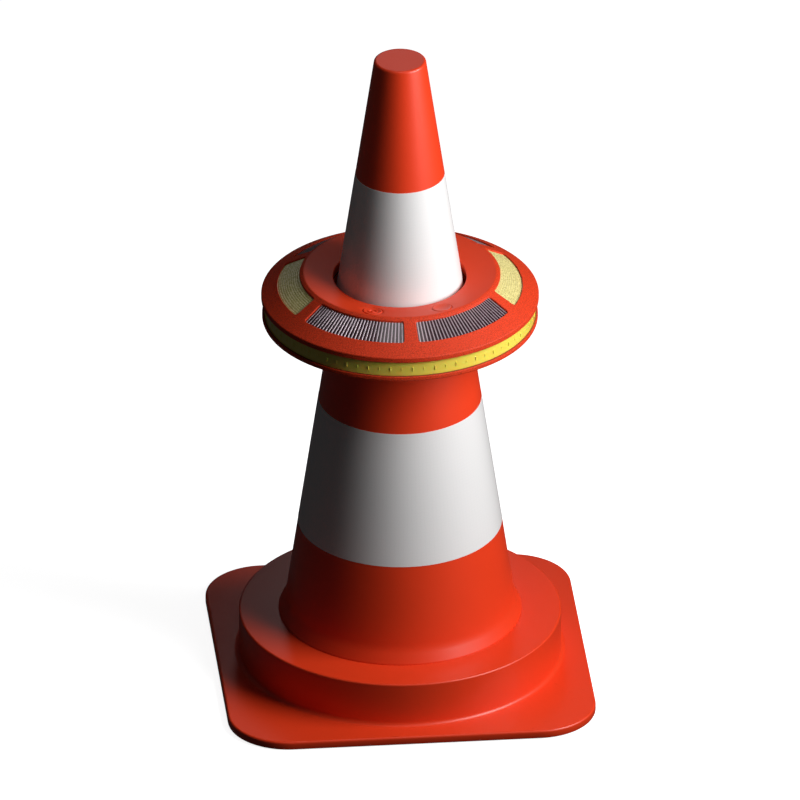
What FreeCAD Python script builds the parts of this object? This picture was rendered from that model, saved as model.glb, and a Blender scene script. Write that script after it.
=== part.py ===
"""Road cone fitted with a ring-shaped solar warning lamp.

The cone is a hollow PVC moulding with a closed flat top. Its foot is held in a heavy square base,
and two reflective sleeves lie in shallow recesses round it. The lamp is a flat ring that drops over
the cone and comes to rest on a rubber seat. Solar panels and reflectors sit behind windows in its
top shell, a clear yellow lens runs round its rim, and two push buttons work the switches inside.

Frame: millimetres, +Z up, origin at the centre of the face that the base stands on. The lamp's
buttons face -Y. Azimuths run from -Y towards +X.
"""

import FreeCAD, Part
import math
import os

import Sketcher

SIZES = {
    # Cone: a straight taper from the ground up.
    "cone_height": 750.0,
    "cone_foot_radius": 138.85,
    "cone_taper": 0.147,
    "cone_wall": 3.0,
    "cone_edge_round": 3.0,
    "cone_flare_radius": 134.9,
    "cone_flare_edge": 1.2,
    "cone_flare_height": 15.0,
    "cone_flare_round": 30.0,
    "cone_flange_radius": 149.0,
    "cone_flange_thickness": 4.0,
    # Reflective sleeves.
    "sleeve_recess": 0.5,
    "sleeve_thickness": 0.7,
    "upper_sleeve_top": 609.5,
    "upper_sleeve_bottom": 459.5,
    "lower_sleeve_top": 329.9,
    "lower_sleeve_bottom": 175.0,
    # Base: a square plate with a round plinth on it.
    "plate_side": 409.2,
    "plate_corner": 67.0,
    "plate_bottom": 1.5,
    "plate_top": 11.0,
    "plate_edge_round": 2.5,
    "plinth_radius": 179.1,
    "plinth_top": 62.8,
    "plinth_edge_round": 2.0,
    "plinth_foot_round": 5.0,
    "plinth_roof": 8.0,
    "plinth_hole_radius": 131.0,
    "base_hole_radius": 137.0,
    "cavity_inner_radius": 146.0,
    "cavity_outer_radius": 172.0,
    "cavity_top": 46.8,
    "ballast_gap": 0.5,
    "cover_inner_radius": 139.0,
    "cover_outer_radius": 176.0,
    "cover_top": 4.5,
    "cover_gap": 0.2,
    "cover_screw_circle": 142.5,
    "cover_screw_count": 6,
    "cover_screw_radius": 1.5,
    "cover_screw_depth": 22.0,
    "foot_radius": 15.0,
    "foot_height": 4.0,
    "foot_place": 156.0,
    # Lamp housing: two shells with a lens between them.
    "lamp_bottom": 429.8,
    "lamp_floor": 2.5,
    "bore_gap": 5.2,
    "bore_wall": 3.5,
    "bore_wall_top": 466.0,
    "skirt_bottom": 468.0,
    "skirt_wall": 2.2,
    "shell_thickness": 2.0,
    "mouth_height": 480.6,
    "crease_radius": 106.5,
    "crease_height": 486.0,
    "crease_round": 3.5,
    "mouth_round": 1.5,
    "rim_radius": 153.5,
    "rim_top": 459.5,
    "rim_bottom": 453.6,
    "rim_top_round": 1.6,
    "rim_bottom_round": 0.8,
    "lip_radius": 152.5,
    "lip_top": 435.3,
    "lip_top_round": 0.8,
    "lip_bottom_round": 1.8,
    "ledge_radius": 144.5,
    "lens_radius": 150.0,
    "lens_thickness": 2.5,
    "lens_bite": 2.0,
    "lens_play": 0.3,
    "gasket_width": 1.0,
    "gasket_height": 0.8,
    "bore_seal_inset": 0.2,
    "bore_seal_width": 2.0,
    "window_inner_radius": 111.0,
    "window_outer_radius": 135.5,
    "window_half_angle": 26.6,
    "window_corner": 3.0,
    "window_count": 6,
    "panel_thickness": 2.0,
    "panel_border": 2.8,
    "panel_half_angle": 28.2,
    "shell_screw_circle": 124.0,
    "shell_screw_count": 6,
    "shell_screw_radius": 1.5,
    "shell_screw_head": 3.0,
    "shell_screw_play": 0.2,
    "shell_screw_sunk": 0.3,
    "shell_screw_reach": 12.0,
    "pilot_depth": 14.0,
    "boss_radius": 3.5,
    "boss_split": 452.0,
    # Rubber seat between the lamp and the cone.
    "seat_gap": 0.3,
    "seat_bottom": 427.3,
    "seat_top": 450.0,
    "seat_flange": 6.0,
    "groove_bottom": 442.0,
    "groove_top": 446.0,
    "groove_depth": 1.5,
    "groove_play": 0.5,
    # Push buttons.
    "button_circle": 93.4,
    "button_azimuth": 24.3,
    "button_radius": 11.2,
    "button_play": 0.3,
    "button_proud": 0.4,
    "button_flange_radius": 13.0,
    "button_flange_top": 478.8,
    "button_flange_thickness": 1.5,
    "button_bowl_radius": 32.0,
    "button_bowl_depth": 1.3,
    "button_stem_radius": 3.0,
    "button_stem_bottom": 470.6,
    "boot_outer_radius": 6.0,
    "boot_inner_radius": 4.5,
    "boot_height": 11.0,
    # Electronics.
    "board_inner_radius": 84.5,
    "board_outer_radius": 118.0,
    "board_half_angle": 38.0,
    "board_bottom": 462.0,
    "board_thickness": 1.6,
    "post_azimuth": 34.0,
    "post_inner_circle": 89.5,
    "post_outer_circle": 113.5,
    "post_radius": 3.0,
    "switch_side": 6.0,
    "switch_height": 3.8,
    "switch_knob_radius": 1.75,
    "switch_knob_height": 1.4,
    "led_board_inner_radius": 134.0,
    "led_board_outer_radius": 146.8,
    "led_count": 38,
    "led_radius": 2.5,
    "led_height": 444.5,
    "led_back": 137.5,
    "led_front": 143.0,
    "led_stem_setback": 1.5,
    "led_stem_radius": 1.2,
    "chip_side": 12.0,
    "chip_circle": 100.0,
    "chip_height": 2.0,
    "plug_length": 12.0,
    "plug_width": 7.0,
    "plug_side": 24.0,
    "capacitor_radius": 4.0,
    "capacitor_length": 10.0,
    "capacitor_side": 22.0,
    "cell_radius": 9.15,
    "cell_length": 65.0,
    "cell_circle": 108.0,
    "cell_height": 444.8,
    "cell_azimuth": 150.0,
    "cradle_length": 56.0,
    "cradle_width": 24.0,
    "cradle_height": 10.0,
    "cradle_play": 0.1,
    "lead_radius": 1.0,
    "lead_end_azimuth": 37.0,
}


class Dim:
    """A length that knows both its number and the spreadsheet expression that gives it."""

    def __init__(self, value, text=None):
        self.value = float(value)
        self.text = text or repr(float(value))

    @staticmethod
    def of(other):
        return other if isinstance(other, Dim) else Dim(other)

    def __add__(self, other):
        other = Dim.of(other)
        return Dim(self.value + other.value, f"({self.text} + {other.text})")

    def __sub__(self, other):
        other = Dim.of(other)
        return Dim(self.value - other.value, f"({self.text} - {other.text})")

    def __mul__(self, other):
        other = Dim.of(other)
        return Dim(self.value * other.value, f"({self.text} * {other.text})")

    def __truediv__(self, other):
        other = Dim.of(other)
        return Dim(self.value / other.value, f"({self.text} / {other.text})")

    def __radd__(self, other):
        return Dim.of(other) + self

    def __rsub__(self, other):
        return Dim.of(other) - self

    def __rmul__(self, other):
        return Dim.of(other) * self

    def __neg__(self):
        return Dim(-self.value, f"(-{self.text})")


def sine(angle):
    """Sine of an angle in degrees."""
    angle = Dim.of(angle)
    return Dim(math.sin(math.radians(angle.value)), f"sin({angle.text} * 1 deg)")


def cosine(angle):
    """Cosine of an angle in degrees."""
    angle = Dim.of(angle)
    return Dim(math.cos(math.radians(angle.value)), f"cos({angle.text} * 1 deg)")


def slant(slope):
    """Vertical depth of a layer one unit thick that lies at a slope."""
    return Dim(math.hypot(1, slope.value), f"sqrt(1 + {slope.text} * {slope.text})")


def make_sheet(document):
    """Write the driving sizes into a spreadsheet and return them by name as Dims."""
    sheet = document.addObject("Spreadsheet::Sheet", "Sizes")
    sizes = {}
    for row, (name, number) in enumerate(SIZES.items(), start=1):
        cell = f"A{row}"
        sheet.set(cell, str(number))
        sheet.setAlias(cell, name)
        sizes[name] = Dim(number, f"Sizes.{name}")
    document.recompute()
    return sizes


doc = FreeCAD.newDocument("cone_lamp")
S = make_sheet(doc)
NODES = []


# ---- Lines that several pieces share ----------------------------------------------------------

def cone_radius(height):
    """Outer radius of the bare cone at a height."""
    return S["cone_foot_radius"] - S["cone_taper"] * height


def bore_radius(height):
    """Radius of the lamp's bore, which follows the cone's taper."""
    return cone_radius(height) + S["bore_gap"]


MOUTH_RADIUS = bore_radius(S["mouth_height"])
DISH_SLOPE = (S["crease_height"] - S["mouth_height"]) / (S["crease_radius"] - MOUTH_RADIUS)
ROOF_SLOPE = (S["crease_height"] - S["rim_top"]) / (S["rim_radius"] - S["crease_radius"])
DISH_DEPTH = S["shell_thickness"] * slant(DISH_SLOPE)
ROOF_DEPTH = S["shell_thickness"] * slant(ROOF_SLOPE)


def dish_height(radius):
    """Height of the top shell's inner slope, which falls towards the cone."""
    return S["mouth_height"] + DISH_SLOPE * (radius - MOUTH_RADIUS)


def roof_height(radius):
    """Height of the top shell's outer slope, which falls towards the rim."""
    return S["crease_height"] - ROOF_SLOPE * (radius - S["crease_radius"])


def polar(radius, azimuth):
    """X and Y of a point at an azimuth, measured from -Y towards +X."""
    return radius * sine(azimuth), -(radius * cosine(azimuth))


# ---- Helpers for bodies and sketches ----------------------------------------------------------

def keep(piece, node):
    """Name a finished piece, so that it is checked and written."""
    piece.Label = node
    NODES.append(piece)
    return piece


def new_body(node, many=False):
    body = doc.addObject("PartDesign::Body", node + "_body")
    body.AllowCompound = many
    return body


def origin_part(body, role):
    return next(part for part in body.Origin.OriginFeatures if part.Role == role)


def new_sketch(body, role, height=None):
    """Make a sketch on one of the body's own planes, lifted by a height if one is given."""
    sketch = body.newObject("Sketcher::SketchObject", body.Name + "_sketch")
    sketch.AttachmentSupport = (origin_part(body, role), [""])
    sketch.MapMode = "FlatFace"
    if height is not None:
        sketch.AttachmentOffset = FreeCAD.Placement(FreeCAD.Vector(0, 0, height.value),
                                                    FreeCAD.Rotation())
        sketch.setExpression("AttachmentOffset.Base.z", height.text)
    return sketch


def constrain(sketch, kind, elements, size):
    """Add a constraint and bind its size to the sheet."""
    index = sketch.addConstraint(Sketcher.Constraint(kind, *elements, size.value))
    sketch.setExpression(f"Constraints[{index}]", size.text)


def pin_point(sketch, geometry, end, x, y):
    """Fix one point of a sketch at its distances from the origin."""
    for kind, axis, size in (("DistanceX", -2, Dim.of(x)), ("DistanceY", -1, Dim.of(y))):
        if abs(size.value) < 1e-9:
            sketch.addConstraint(Sketcher.Constraint("PointOnObject", geometry, end, axis))
        else:
            constrain(sketch, kind, (-1, 1, geometry, end), size)


def draw_outline(sketch, corners):
    """Draw a closed outline of straight lines through the corners."""
    points = [FreeCAD.Vector(Dim.of(x).value, Dim.of(y).value, 0) for x, y in corners]
    lines = []
    for index, start in enumerate(points):
        finish = points[(index + 1) % len(points)]
        lines.append(sketch.addGeometry(Part.LineSegment(start, finish)))
    for index, line in enumerate(lines):
        following = lines[(index + 1) % len(lines)]
        sketch.addConstraint(Sketcher.Constraint("Coincident", line, 2, following, 1))
    for line, (x, y) in zip(lines, corners):
        pin_point(sketch, line, 1, x, y)


def draw_circle(sketch, x, y, radius):
    centre = FreeCAD.Vector(Dim.of(x).value, Dim.of(y).value, 0)
    circle = sketch.addGeometry(Part.Circle(centre, FreeCAD.Vector(0, 0, 1), radius.value))
    pin_point(sketch, circle, 3, x, y)
    constrain(sketch, "Radius", (circle,), radius)


def add_feature(body, kind, sketch, **expressions):
    """Add a sketch-based feature and bind its properties to the sheet."""
    feature = body.newObject("PartDesign::" + kind, f"{body.Name}_{kind.lower()}")
    feature.Profile = sketch
    for name, size in expressions.items():
        feature.setExpression(name, Dim.of(size).text)
    return feature


def turn(body, corners, kind="Revolution", angle=None):
    """Turn an outline of (radius, height) corners about Z, adding or cutting material."""
    sketch = new_sketch(body, "XZ_Plane")
    draw_outline(sketch, corners)
    feature = add_feature(body, kind, sketch, Angle=angle if angle else Dim(360))
    feature.ReferenceAxis = (sketch, ["V_Axis"])
    feature.Midplane = angle is not None
    doc.recompute()
    return feature


def pad_circles(body, circles, bottom, length):
    """Raise round posts from a height; circles is a list of (x, y, radius)."""
    sketch = new_sketch(body, "XY_Plane", bottom)
    for x, y, radius in circles:
        draw_circle(sketch, x, y, radius)
    feature = add_feature(body, "Pad", sketch, Length=length)
    doc.recompute()
    return feature


def pocket_circles(body, circles, top, length):
    """Sink round holes from a height down into the body."""
    sketch = new_sketch(body, "XY_Plane", top)
    for x, y, radius in circles:
        draw_circle(sketch, x, y, radius)
    before = body.Shape.Volume
    feature = add_feature(body, "Pocket", sketch, Length=length)
    doc.recompute()
    if body.Shape.Volume > before - 1e-3:
        raise RuntimeError(f"{feature.Name} cut nothing")
    return feature


def repeat(body, features, count):
    """Repeat features evenly round Z."""
    pattern = body.newObject("PartDesign::PolarPattern", body.Name + "_pattern")
    pattern.Originals = features
    pattern.Axis = (origin_part(body, "Z_Axis"), [""])
    pattern.Angle = 360
    pattern.setExpression("Occurrences", count.text)
    body.Tip = pattern
    doc.recompute()
    return pattern


def ring_edges(shape, rings):
    """Names of the circular edges round Z at the given (radius, height) pairs."""
    names = []
    for radius, height in rings:
        found = [f"Edge{number}" for number, edge in enumerate(shape.Edges, start=1)
                 if isinstance(edge.Curve, Part.Circle)
                 and abs(edge.Curve.Radius - Dim.of(radius).value) < 0.02
                 and abs(edge.Curve.Center.z - Dim.of(height).value) < 0.02
                 and math.hypot(edge.Curve.Center.x, edge.Curve.Center.y) < 0.02]
        if not found:
            raise RuntimeError(f"no edge at radius {Dim.of(radius).value}")
        names += found
    return names


def round_edges(body, names, size):
    """Round the named edges of the body's last feature."""
    base = body.Tip
    feature = body.newObject("PartDesign::Fillet", body.Name + "_round")
    feature.Base = (base, names)
    feature.setExpression("Radius", size.text)
    doc.recompute()


def round_rings(body, rings, size):
    """Round the circular edges at the given (radius, height) pairs."""
    round_edges(body, ring_edges(body.Tip.Shape, rings), size)


def place(piece, azimuth):
    """Turn a piece made over +X so that it stands at an azimuth."""
    piece.Placement = FreeCAD.Placement(FreeCAD.Vector(),
                                        FreeCAD.Rotation(FreeCAD.Vector(0, 0, 1), 0))
    piece.setExpression("Placement.Rotation.Angle", (Dim.of(azimuth) - 90).text)
    return piece


def turned_ring(node, corners, rounds=()):
    """A whole ring turned from one outline, with some of its edges rounded."""
    body = new_body(node)
    turn(body, corners)
    for rings, size in rounds:
        round_rings(body, rings, size)
    return keep(body, node)


# ---- Cone and base ----------------------------------------------------------------------------

def sleeve_recess(top, bottom):
    """Corners of the shallow recess that a reflective sleeve lies in."""
    depth = S["sleeve_recess"]
    return [(cone_radius(top), top),
            (cone_radius(top) - depth, top),
            (cone_radius(bottom) - depth, bottom),
            (cone_radius(bottom), bottom)]


def make_cone_shell():
    """The hollow cone, with a flare that rests on the plinth and a flange held inside it."""
    top = S["cone_height"]
    wall = S["cone_wall"]
    flare_edge = S["plinth_top"] + S["cone_flare_edge"]
    flare_top = flare_edge + S["cone_flare_height"]
    flange_top = S["plinth_top"] - S["plinth_roof"]
    flange_bottom = flange_top - S["cone_flange_thickness"]
    corners = [(0, top), (cone_radius(top), top)]
    corners += sleeve_recess(S["upper_sleeve_top"], S["upper_sleeve_bottom"])
    corners += sleeve_recess(S["lower_sleeve_top"], S["lower_sleeve_bottom"])
    corners += [(cone_radius(flare_top), flare_top),
                (S["cone_flare_radius"], flare_edge),
                (S["cone_flare_radius"], S["plinth_top"]),
                (cone_radius(S["plinth_top"]), S["plinth_top"]),
                (cone_radius(flange_top), flange_top),
                (S["cone_flange_radius"], flange_top),
                (S["cone_flange_radius"], flange_bottom),
                (cone_radius(flange_bottom) - wall, flange_bottom),
                (cone_radius(top - wall) - wall, top - wall),
                (0, top - wall)]
    rounds = [([(cone_radius(top), top)], S["cone_edge_round"]),
              ([(cone_radius(flare_top), flare_top)], S["cone_flare_round"])]
    turned_ring("cone_shell", corners, rounds)


def make_sleeve(node, top, bottom):
    """A reflective sleeve lying in its recess."""
    inner = S["sleeve_recess"]
    outer = S["sleeve_thickness"] - S["sleeve_recess"]
    turned_ring(node, [(cone_radius(top) - inner, top), (cone_radius(top) + outer, top),
                       (cone_radius(bottom) + outer, bottom), (cone_radius(bottom) - inner, bottom)])


def make_base():
    """Square plate and round plinth in one moulding, hollow underneath for the ballast."""
    body = new_body("base_moulding")
    half = S["plate_side"] / 2
    sketch = new_sketch(body, "XY_Plane", S["plate_bottom"])
    draw_outline(sketch, [(-half, -half), (half, -half), (half, half), (-half, half)])
    add_feature(body, "Pad", sketch, Length=S["plate_top"] - S["plate_bottom"])
    doc.recompute()

    upright = [f"Edge{number}" for number, edge in enumerate(body.Shape.Edges, start=1)
               if abs(edge.tangentAt(edge.FirstParameter).z) > 0.9]
    round_edges(body, upright, S["plate_corner"])
    rim = [f"Edge{number}" for number, edge in enumerate(body.Shape.Edges, start=1)
           if abs(edge.BoundBox.ZMin - S["plate_top"].value) < 1e-6]
    round_edges(body, rim, S["plate_edge_round"])

    turn(body, [(0, S["plate_bottom"]), (S["plinth_radius"], S["plate_bottom"]),
                (S["plinth_radius"], S["plinth_top"]), (0, S["plinth_top"])])
    round_rings(body, [(S["plinth_radius"], S["plate_top"])], S["plinth_foot_round"])
    round_rings(body, [(S["plinth_radius"], S["plinth_top"])], S["plinth_edge_round"])

    flange_top = S["plinth_top"] - S["plinth_roof"]
    flange_bottom = flange_top - S["cone_flange_thickness"]
    turn(body, [(0, 0), (S["base_hole_radius"], 0),
                (S["base_hole_radius"], flange_bottom),
                (S["cone_flange_radius"], flange_bottom),
                (S["cone_flange_radius"], flange_top),
                (S["plinth_hole_radius"], flange_top),
                (S["plinth_hole_radius"], S["plinth_top"] + 1), (0, S["plinth_top"] + 1)], "Groove")
    turn(body, [(S["cover_inner_radius"], 0), (S["cover_outer_radius"], 0),
                (S["cover_outer_radius"], S["cover_top"]),
                (S["cavity_outer_radius"], S["cover_top"]),
                (S["cavity_outer_radius"], S["cavity_top"]),
                (S["cavity_inner_radius"], S["cavity_top"]),
                (S["cavity_inner_radius"], S["cover_top"]),
                (S["cover_inner_radius"], S["cover_top"])], "Groove")

    place_at = S["foot_place"]
    corners = [(x, y) for x in (-place_at, place_at) for y in (-place_at, place_at)]
    pocket_circles(body, [(x, y, S["foot_radius"]) for x, y in corners],
                   S["foot_height"], S["foot_height"])
    hole = pocket_circles(body, [(S["cover_screw_circle"], 0, S["cover_screw_radius"])],
                          S["cover_screw_depth"], S["cover_screw_depth"])
    repeat(body, [hole], S["cover_screw_count"])
    keep(body, "base_moulding")

    feet = new_body("rubber_feet", many=True)
    pad_circles(feet, [(x, y, S["foot_radius"]) for x, y in corners], Dim(0), S["foot_height"])
    keep(feet, "rubber_feet")


def make_ballast():
    gap = S["ballast_gap"]
    inner = S["cavity_inner_radius"] + gap
    outer = S["cavity_outer_radius"] - gap
    turned_ring("ballast_ring", [(inner, S["cover_top"]), (outer, S["cover_top"]),
                                 (outer, S["cavity_top"] - gap), (inner, S["cavity_top"] - gap)])


def make_base_cover():
    """Flat annular cover that keeps the ballast in, and its countersunk screws."""
    body = new_body("base_cover")
    gap = S["cover_gap"]
    inner = S["cover_inner_radius"] + gap
    outer = S["cover_outer_radius"] - gap
    bottom = S["plate_bottom"]
    turn(body, [(inner, bottom), (outer, bottom), (outer, S["cover_top"]), (inner, S["cover_top"])])
    hole = pocket_circles(body, [(S["cover_screw_circle"], 0, S["cover_screw_radius"])],
                          S["cover_top"], S["cover_top"] - bottom)
    repeat(body, [hole], S["cover_screw_count"])
    keep(body, "base_cover")

    screws = new_body("base_cover_screws", many=True)
    shank = pad_circles(screws, [(S["cover_screw_circle"], 0, S["cover_screw_radius"])],
                        bottom, S["cover_screw_depth"] - bottom)
    repeat(screws, [shank], S["cover_screw_count"])
    keep(screws, "base_cover_screws")


# ---- Lamp housing -----------------------------------------------------------------------------

def draw_window(sketch, azimuth):
    """Draw one window: a sector of a ring with rounded corners."""
    inner = S["window_inner_radius"].value
    outer = S["window_outer_radius"].value
    half = math.radians(S["window_half_angle"].value)
    corner = S["window_corner"].value
    centre = math.radians(azimuth - 90)
    in_turn = half - math.asin(corner / (inner + corner))
    out_turn = half - math.asin(corner / (outer - corner))
    in_reach = (inner + corner) * math.cos(half - in_turn)
    out_reach = (outer - corner) * math.cos(half - out_turn)

    def point(radius, angle):
        return FreeCAD.Vector(radius * math.cos(centre + angle), radius * math.sin(centre + angle), 0)

    def corner_arc(start, finish, radius, angle):
        heart = point(radius, angle)
        middle = heart + ((start + finish) / 2 - heart).normalize() * corner
        return Part.Arc(start, middle, finish)

    pieces = [Part.Arc(point(outer, -out_turn), point(outer, 0), point(outer, out_turn)),
              corner_arc(point(outer, out_turn), point(out_reach, half), outer - corner, out_turn),
              Part.LineSegment(point(out_reach, half), point(in_reach, half)),
              corner_arc(point(in_reach, half), point(inner, in_turn), inner + corner, in_turn),
              Part.Arc(point(inner, in_turn), point(inner, 0), point(inner, -in_turn)),
              corner_arc(point(inner, -in_turn), point(in_reach, -half), inner + corner, -in_turn),
              Part.LineSegment(point(in_reach, -half), point(out_reach, -half)),
              corner_arc(point(out_reach, -half), point(outer, -out_turn), outer - corner, -out_turn)]
    for piece in pieces:
        sketch.addGeometry(piece)


def window_azimuths():
    step = 360 / S["window_count"].value
    return [step * (index + 0.5) for index in range(int(S["window_count"].value))]


def screw_azimuths():
    step = 360 / S["shell_screw_count"].value
    return [step * index for index in range(int(S["shell_screw_count"].value))]


def make_top_shell():
    """Upper shell: an inner dish, an outer slope with six windows, and a skirt down the bore."""
    body = new_body("top_shell")
    ledge = S["ledge_radius"]
    lens_outer = S["lens_radius"] + S["lens_play"]
    lens_inner = S["lens_radius"] - S["lens_thickness"] - S["lens_play"]
    slot_top = S["rim_bottom"] + S["lens_bite"]
    skirt_bottom = bore_radius(S["skirt_bottom"])
    under_crease = S["crease_radius"] - (ROOF_DEPTH - DISH_DEPTH) / (DISH_SLOPE + ROOF_SLOPE)
    under_mouth = MOUTH_RADIUS + S["skirt_wall"] + 0.3
    turn(body, [(MOUTH_RADIUS, S["mouth_height"]),
                (S["crease_radius"], S["crease_height"]),
                (S["rim_radius"], S["rim_top"]),
                (S["rim_radius"], S["rim_bottom"]),
                (lens_outer, S["rim_bottom"]),
                (lens_outer, slot_top),
                (lens_inner, slot_top),
                (lens_inner, S["rim_bottom"]),
                (ledge, S["rim_bottom"]),
                (ledge, roof_height(ledge) - ROOF_DEPTH),
                (under_crease, dish_height(under_crease) - DISH_DEPTH),
                (under_mouth, dish_height(under_mouth) - DISH_DEPTH),
                (skirt_bottom + S["skirt_wall"], S["skirt_bottom"]),
                (skirt_bottom, S["skirt_bottom"])])
    round_rings(body, [(S["rim_radius"], S["rim_top"])], S["rim_top_round"])
    round_rings(body, [(S["rim_radius"], S["rim_bottom"])], S["rim_bottom_round"])
    round_rings(body, [(MOUTH_RADIUS, S["mouth_height"])], S["mouth_round"])
    round_rings(body, [(S["crease_radius"], S["crease_height"])], S["crease_round"])

    bosses = [(*polar(S["shell_screw_circle"], angle), S["boss_radius"])
              for angle in screw_azimuths()]
    roof = roof_height(S["shell_screw_circle"]) - ROOF_DEPTH / 2
    pad_circles(body, bosses, S["boss_split"], roof - S["boss_split"])

    windows = new_sketch(body, "XY_Plane", S["crease_height"] + 2)
    for azimuth in window_azimuths():
        draw_window(windows, azimuth)
    before = body.Shape.Volume
    add_feature(body, "Pocket", windows, Length=S["crease_height"] - S["rim_bottom"])
    doc.recompute()
    if body.Shape.Volume > before - 1000:
        raise RuntimeError("the windows cut nothing")

    hole = S["button_radius"] + S["button_play"]
    holes = [(*polar(S["button_circle"], side * S["button_azimuth"]), hole) for side in (-1, 1)]
    pocket_circles(body, holes, S["crease_height"], S["crease_height"] - S["skirt_bottom"])
    pilots = [(x, y, S["shell_screw_radius"]) for x, y, _ in bosses]
    pocket_circles(body, pilots, S["boss_split"] + S["pilot_depth"], S["pilot_depth"])
    keep(body, "top_shell")


def make_bottom_shell():
    """Lower shell: floor, outer lip, bore wall with a groove for the seat, posts and bosses."""
    body = new_body("bottom_shell")
    bottom = S["lamp_bottom"]
    floor = bottom + S["lamp_floor"]
    wall = S["bore_wall"]
    depth = S["groove_depth"]
    lens_outer = S["lens_radius"] + S["lens_play"]
    lens_inner = S["lens_radius"] - S["lens_thickness"] - S["lens_play"]
    slot_bottom = S["lip_top"] - S["lens_bite"]
    turn(body, [(bore_radius(bottom), bottom),
                (S["lip_radius"], bottom),
                (S["lip_radius"], S["lip_top"]),
                (lens_outer, S["lip_top"]),
                (lens_outer, slot_bottom),
                (lens_inner, slot_bottom),
                (lens_inner, S["lip_top"]),
                (S["ledge_radius"], S["lip_top"]),
                (S["ledge_radius"], floor),
                (bore_radius(floor) + wall, floor),
                (bore_radius(S["bore_wall_top"]) + wall, S["bore_wall_top"]),
                (bore_radius(S["bore_wall_top"]), S["bore_wall_top"]),
                (bore_radius(S["groove_top"]), S["groove_top"]),
                (bore_radius(S["groove_top"]) + depth, S["groove_top"]),
                (bore_radius(S["groove_bottom"]) + depth, S["groove_bottom"]),
                (bore_radius(S["groove_bottom"]), S["groove_bottom"])])
    round_rings(body, [(S["lip_radius"], bottom)], S["lip_bottom_round"])
    round_rings(body, [(S["lip_radius"], S["lip_top"])], S["lip_top_round"])

    bosses = [(*polar(S["shell_screw_circle"], angle), S["boss_radius"])
              for angle in screw_azimuths()]
    root = bottom + S["lamp_floor"] / 2
    pad_circles(body, bosses, root, S["boss_split"] - root)
    posts = [(*polar(circle, side * S["post_azimuth"]), S["post_radius"])
             for circle in (S["post_inner_circle"], S["post_outer_circle"]) for side in (-1, 1)]
    pad_circles(body, posts, root, S["board_bottom"] - root)

    pilots = [(x, y, S["shell_screw_radius"]) for x, y, _ in bosses]
    pocket_circles(body, pilots, S["boss_split"], S["boss_split"] - bottom)
    heads = [(x, y, S["shell_screw_head"]) for x, y, _ in bosses]
    pocket_circles(body, heads, bottom + S["lamp_floor"], S["lamp_floor"])
    keep(body, "bottom_shell")


def make_lens():
    """Clear yellow band between the two shells, with a rubber seal at each edge."""
    outer = S["lens_radius"]
    inner = outer - S["lens_thickness"]
    bite = S["lens_bite"] - S["lens_play"]
    bottom = S["lip_top"] - bite
    top = S["rim_bottom"] + bite
    turned_ring("lens_ring", [(inner, bottom), (outer, bottom), (outer, top), (inner, top)])
    seal = S["gasket_width"]
    for node, low in (("lower_lens_seal", S["lip_top"]),
                      ("upper_lens_seal", S["rim_bottom"] - S["gasket_height"])):
        high = low + S["gasket_height"]
        turned_ring(node, [(outer, low), (outer + seal, low), (outer + seal, high), (outer, high)])


def make_bore_seal():
    """Rubber seal between the two shells inside the bore."""
    low = S["bore_wall_top"]
    high = S["skirt_bottom"]
    inset = S["bore_seal_inset"]
    outer = inset + S["bore_seal_width"]
    turned_ring("bore_seal", [(bore_radius(low) + inset, low), (bore_radius(low) + outer, low),
                              (bore_radius(high) + outer, high), (bore_radius(high) + inset, high)])


def make_window_piece(node, azimuth):
    """A panel or reflector bonded behind one window, curved like the shell's slope."""
    body = new_body(node)
    inner = S["window_inner_radius"] - S["panel_border"]
    outer = S["window_outer_radius"] + S["panel_border"]
    thickness = S["panel_thickness"] * slant(ROOF_SLOPE)
    turn(body, [(inner, roof_height(inner) - ROOF_DEPTH),
                (outer, roof_height(outer) - ROOF_DEPTH),
                (outer, roof_height(outer) - ROOF_DEPTH - thickness),
                (inner, roof_height(inner) - ROOF_DEPTH - thickness)],
         angle=S["panel_half_angle"] * 2)
    keep(place(body, azimuth), node)


def make_shell_screws():
    screws = new_body("shell_screws", many=True)
    x, y = polar(S["shell_screw_circle"], 0)
    sunk = S["shell_screw_sunk"]
    middle = S["lamp_bottom"] + S["lamp_floor"] / 2
    head = pad_circles(screws, [(x, y, S["shell_screw_head"] - S["shell_screw_play"])],
                       S["lamp_bottom"] + sunk, S["lamp_floor"] - sunk)
    shank = pad_circles(screws, [(x, y, S["shell_screw_radius"])], middle,
                        S["boss_split"] + S["shell_screw_reach"] - middle)
    repeat(screws, [head, shank], S["shell_screw_count"])
    keep(screws, "shell_screws")


def make_seat():
    """Rubber seat: grips the cone inside, carries the lamp on its flange and bead outside."""
    gap = S["seat_gap"]
    bottom = S["seat_bottom"]
    top = S["seat_top"]
    flange_top = S["lamp_bottom"] - gap
    bead_bottom = S["groove_bottom"] + S["groove_play"]
    bead_top = S["groove_top"] - S["groove_play"]
    bead = S["groove_depth"] - S["groove_play"]
    turned_ring("seat_ring", [(cone_radius(bottom) + gap, bottom),
                              (bore_radius(bottom) + S["seat_flange"], bottom),
                              (bore_radius(bottom) + S["seat_flange"], flange_top),
                              (bore_radius(flange_top) - gap, flange_top),
                              (bore_radius(bead_bottom) - gap, bead_bottom),
                              (bore_radius(bead_bottom) + bead, bead_bottom),
                              (bore_radius(bead_top) + bead, bead_top),
                              (bore_radius(bead_top) - gap, bead_top),
                              (bore_radius(top) - gap, top),
                              (cone_radius(top) + gap, top)])


# ---- Buttons ----------------------------------------------------------------------------------

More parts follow.
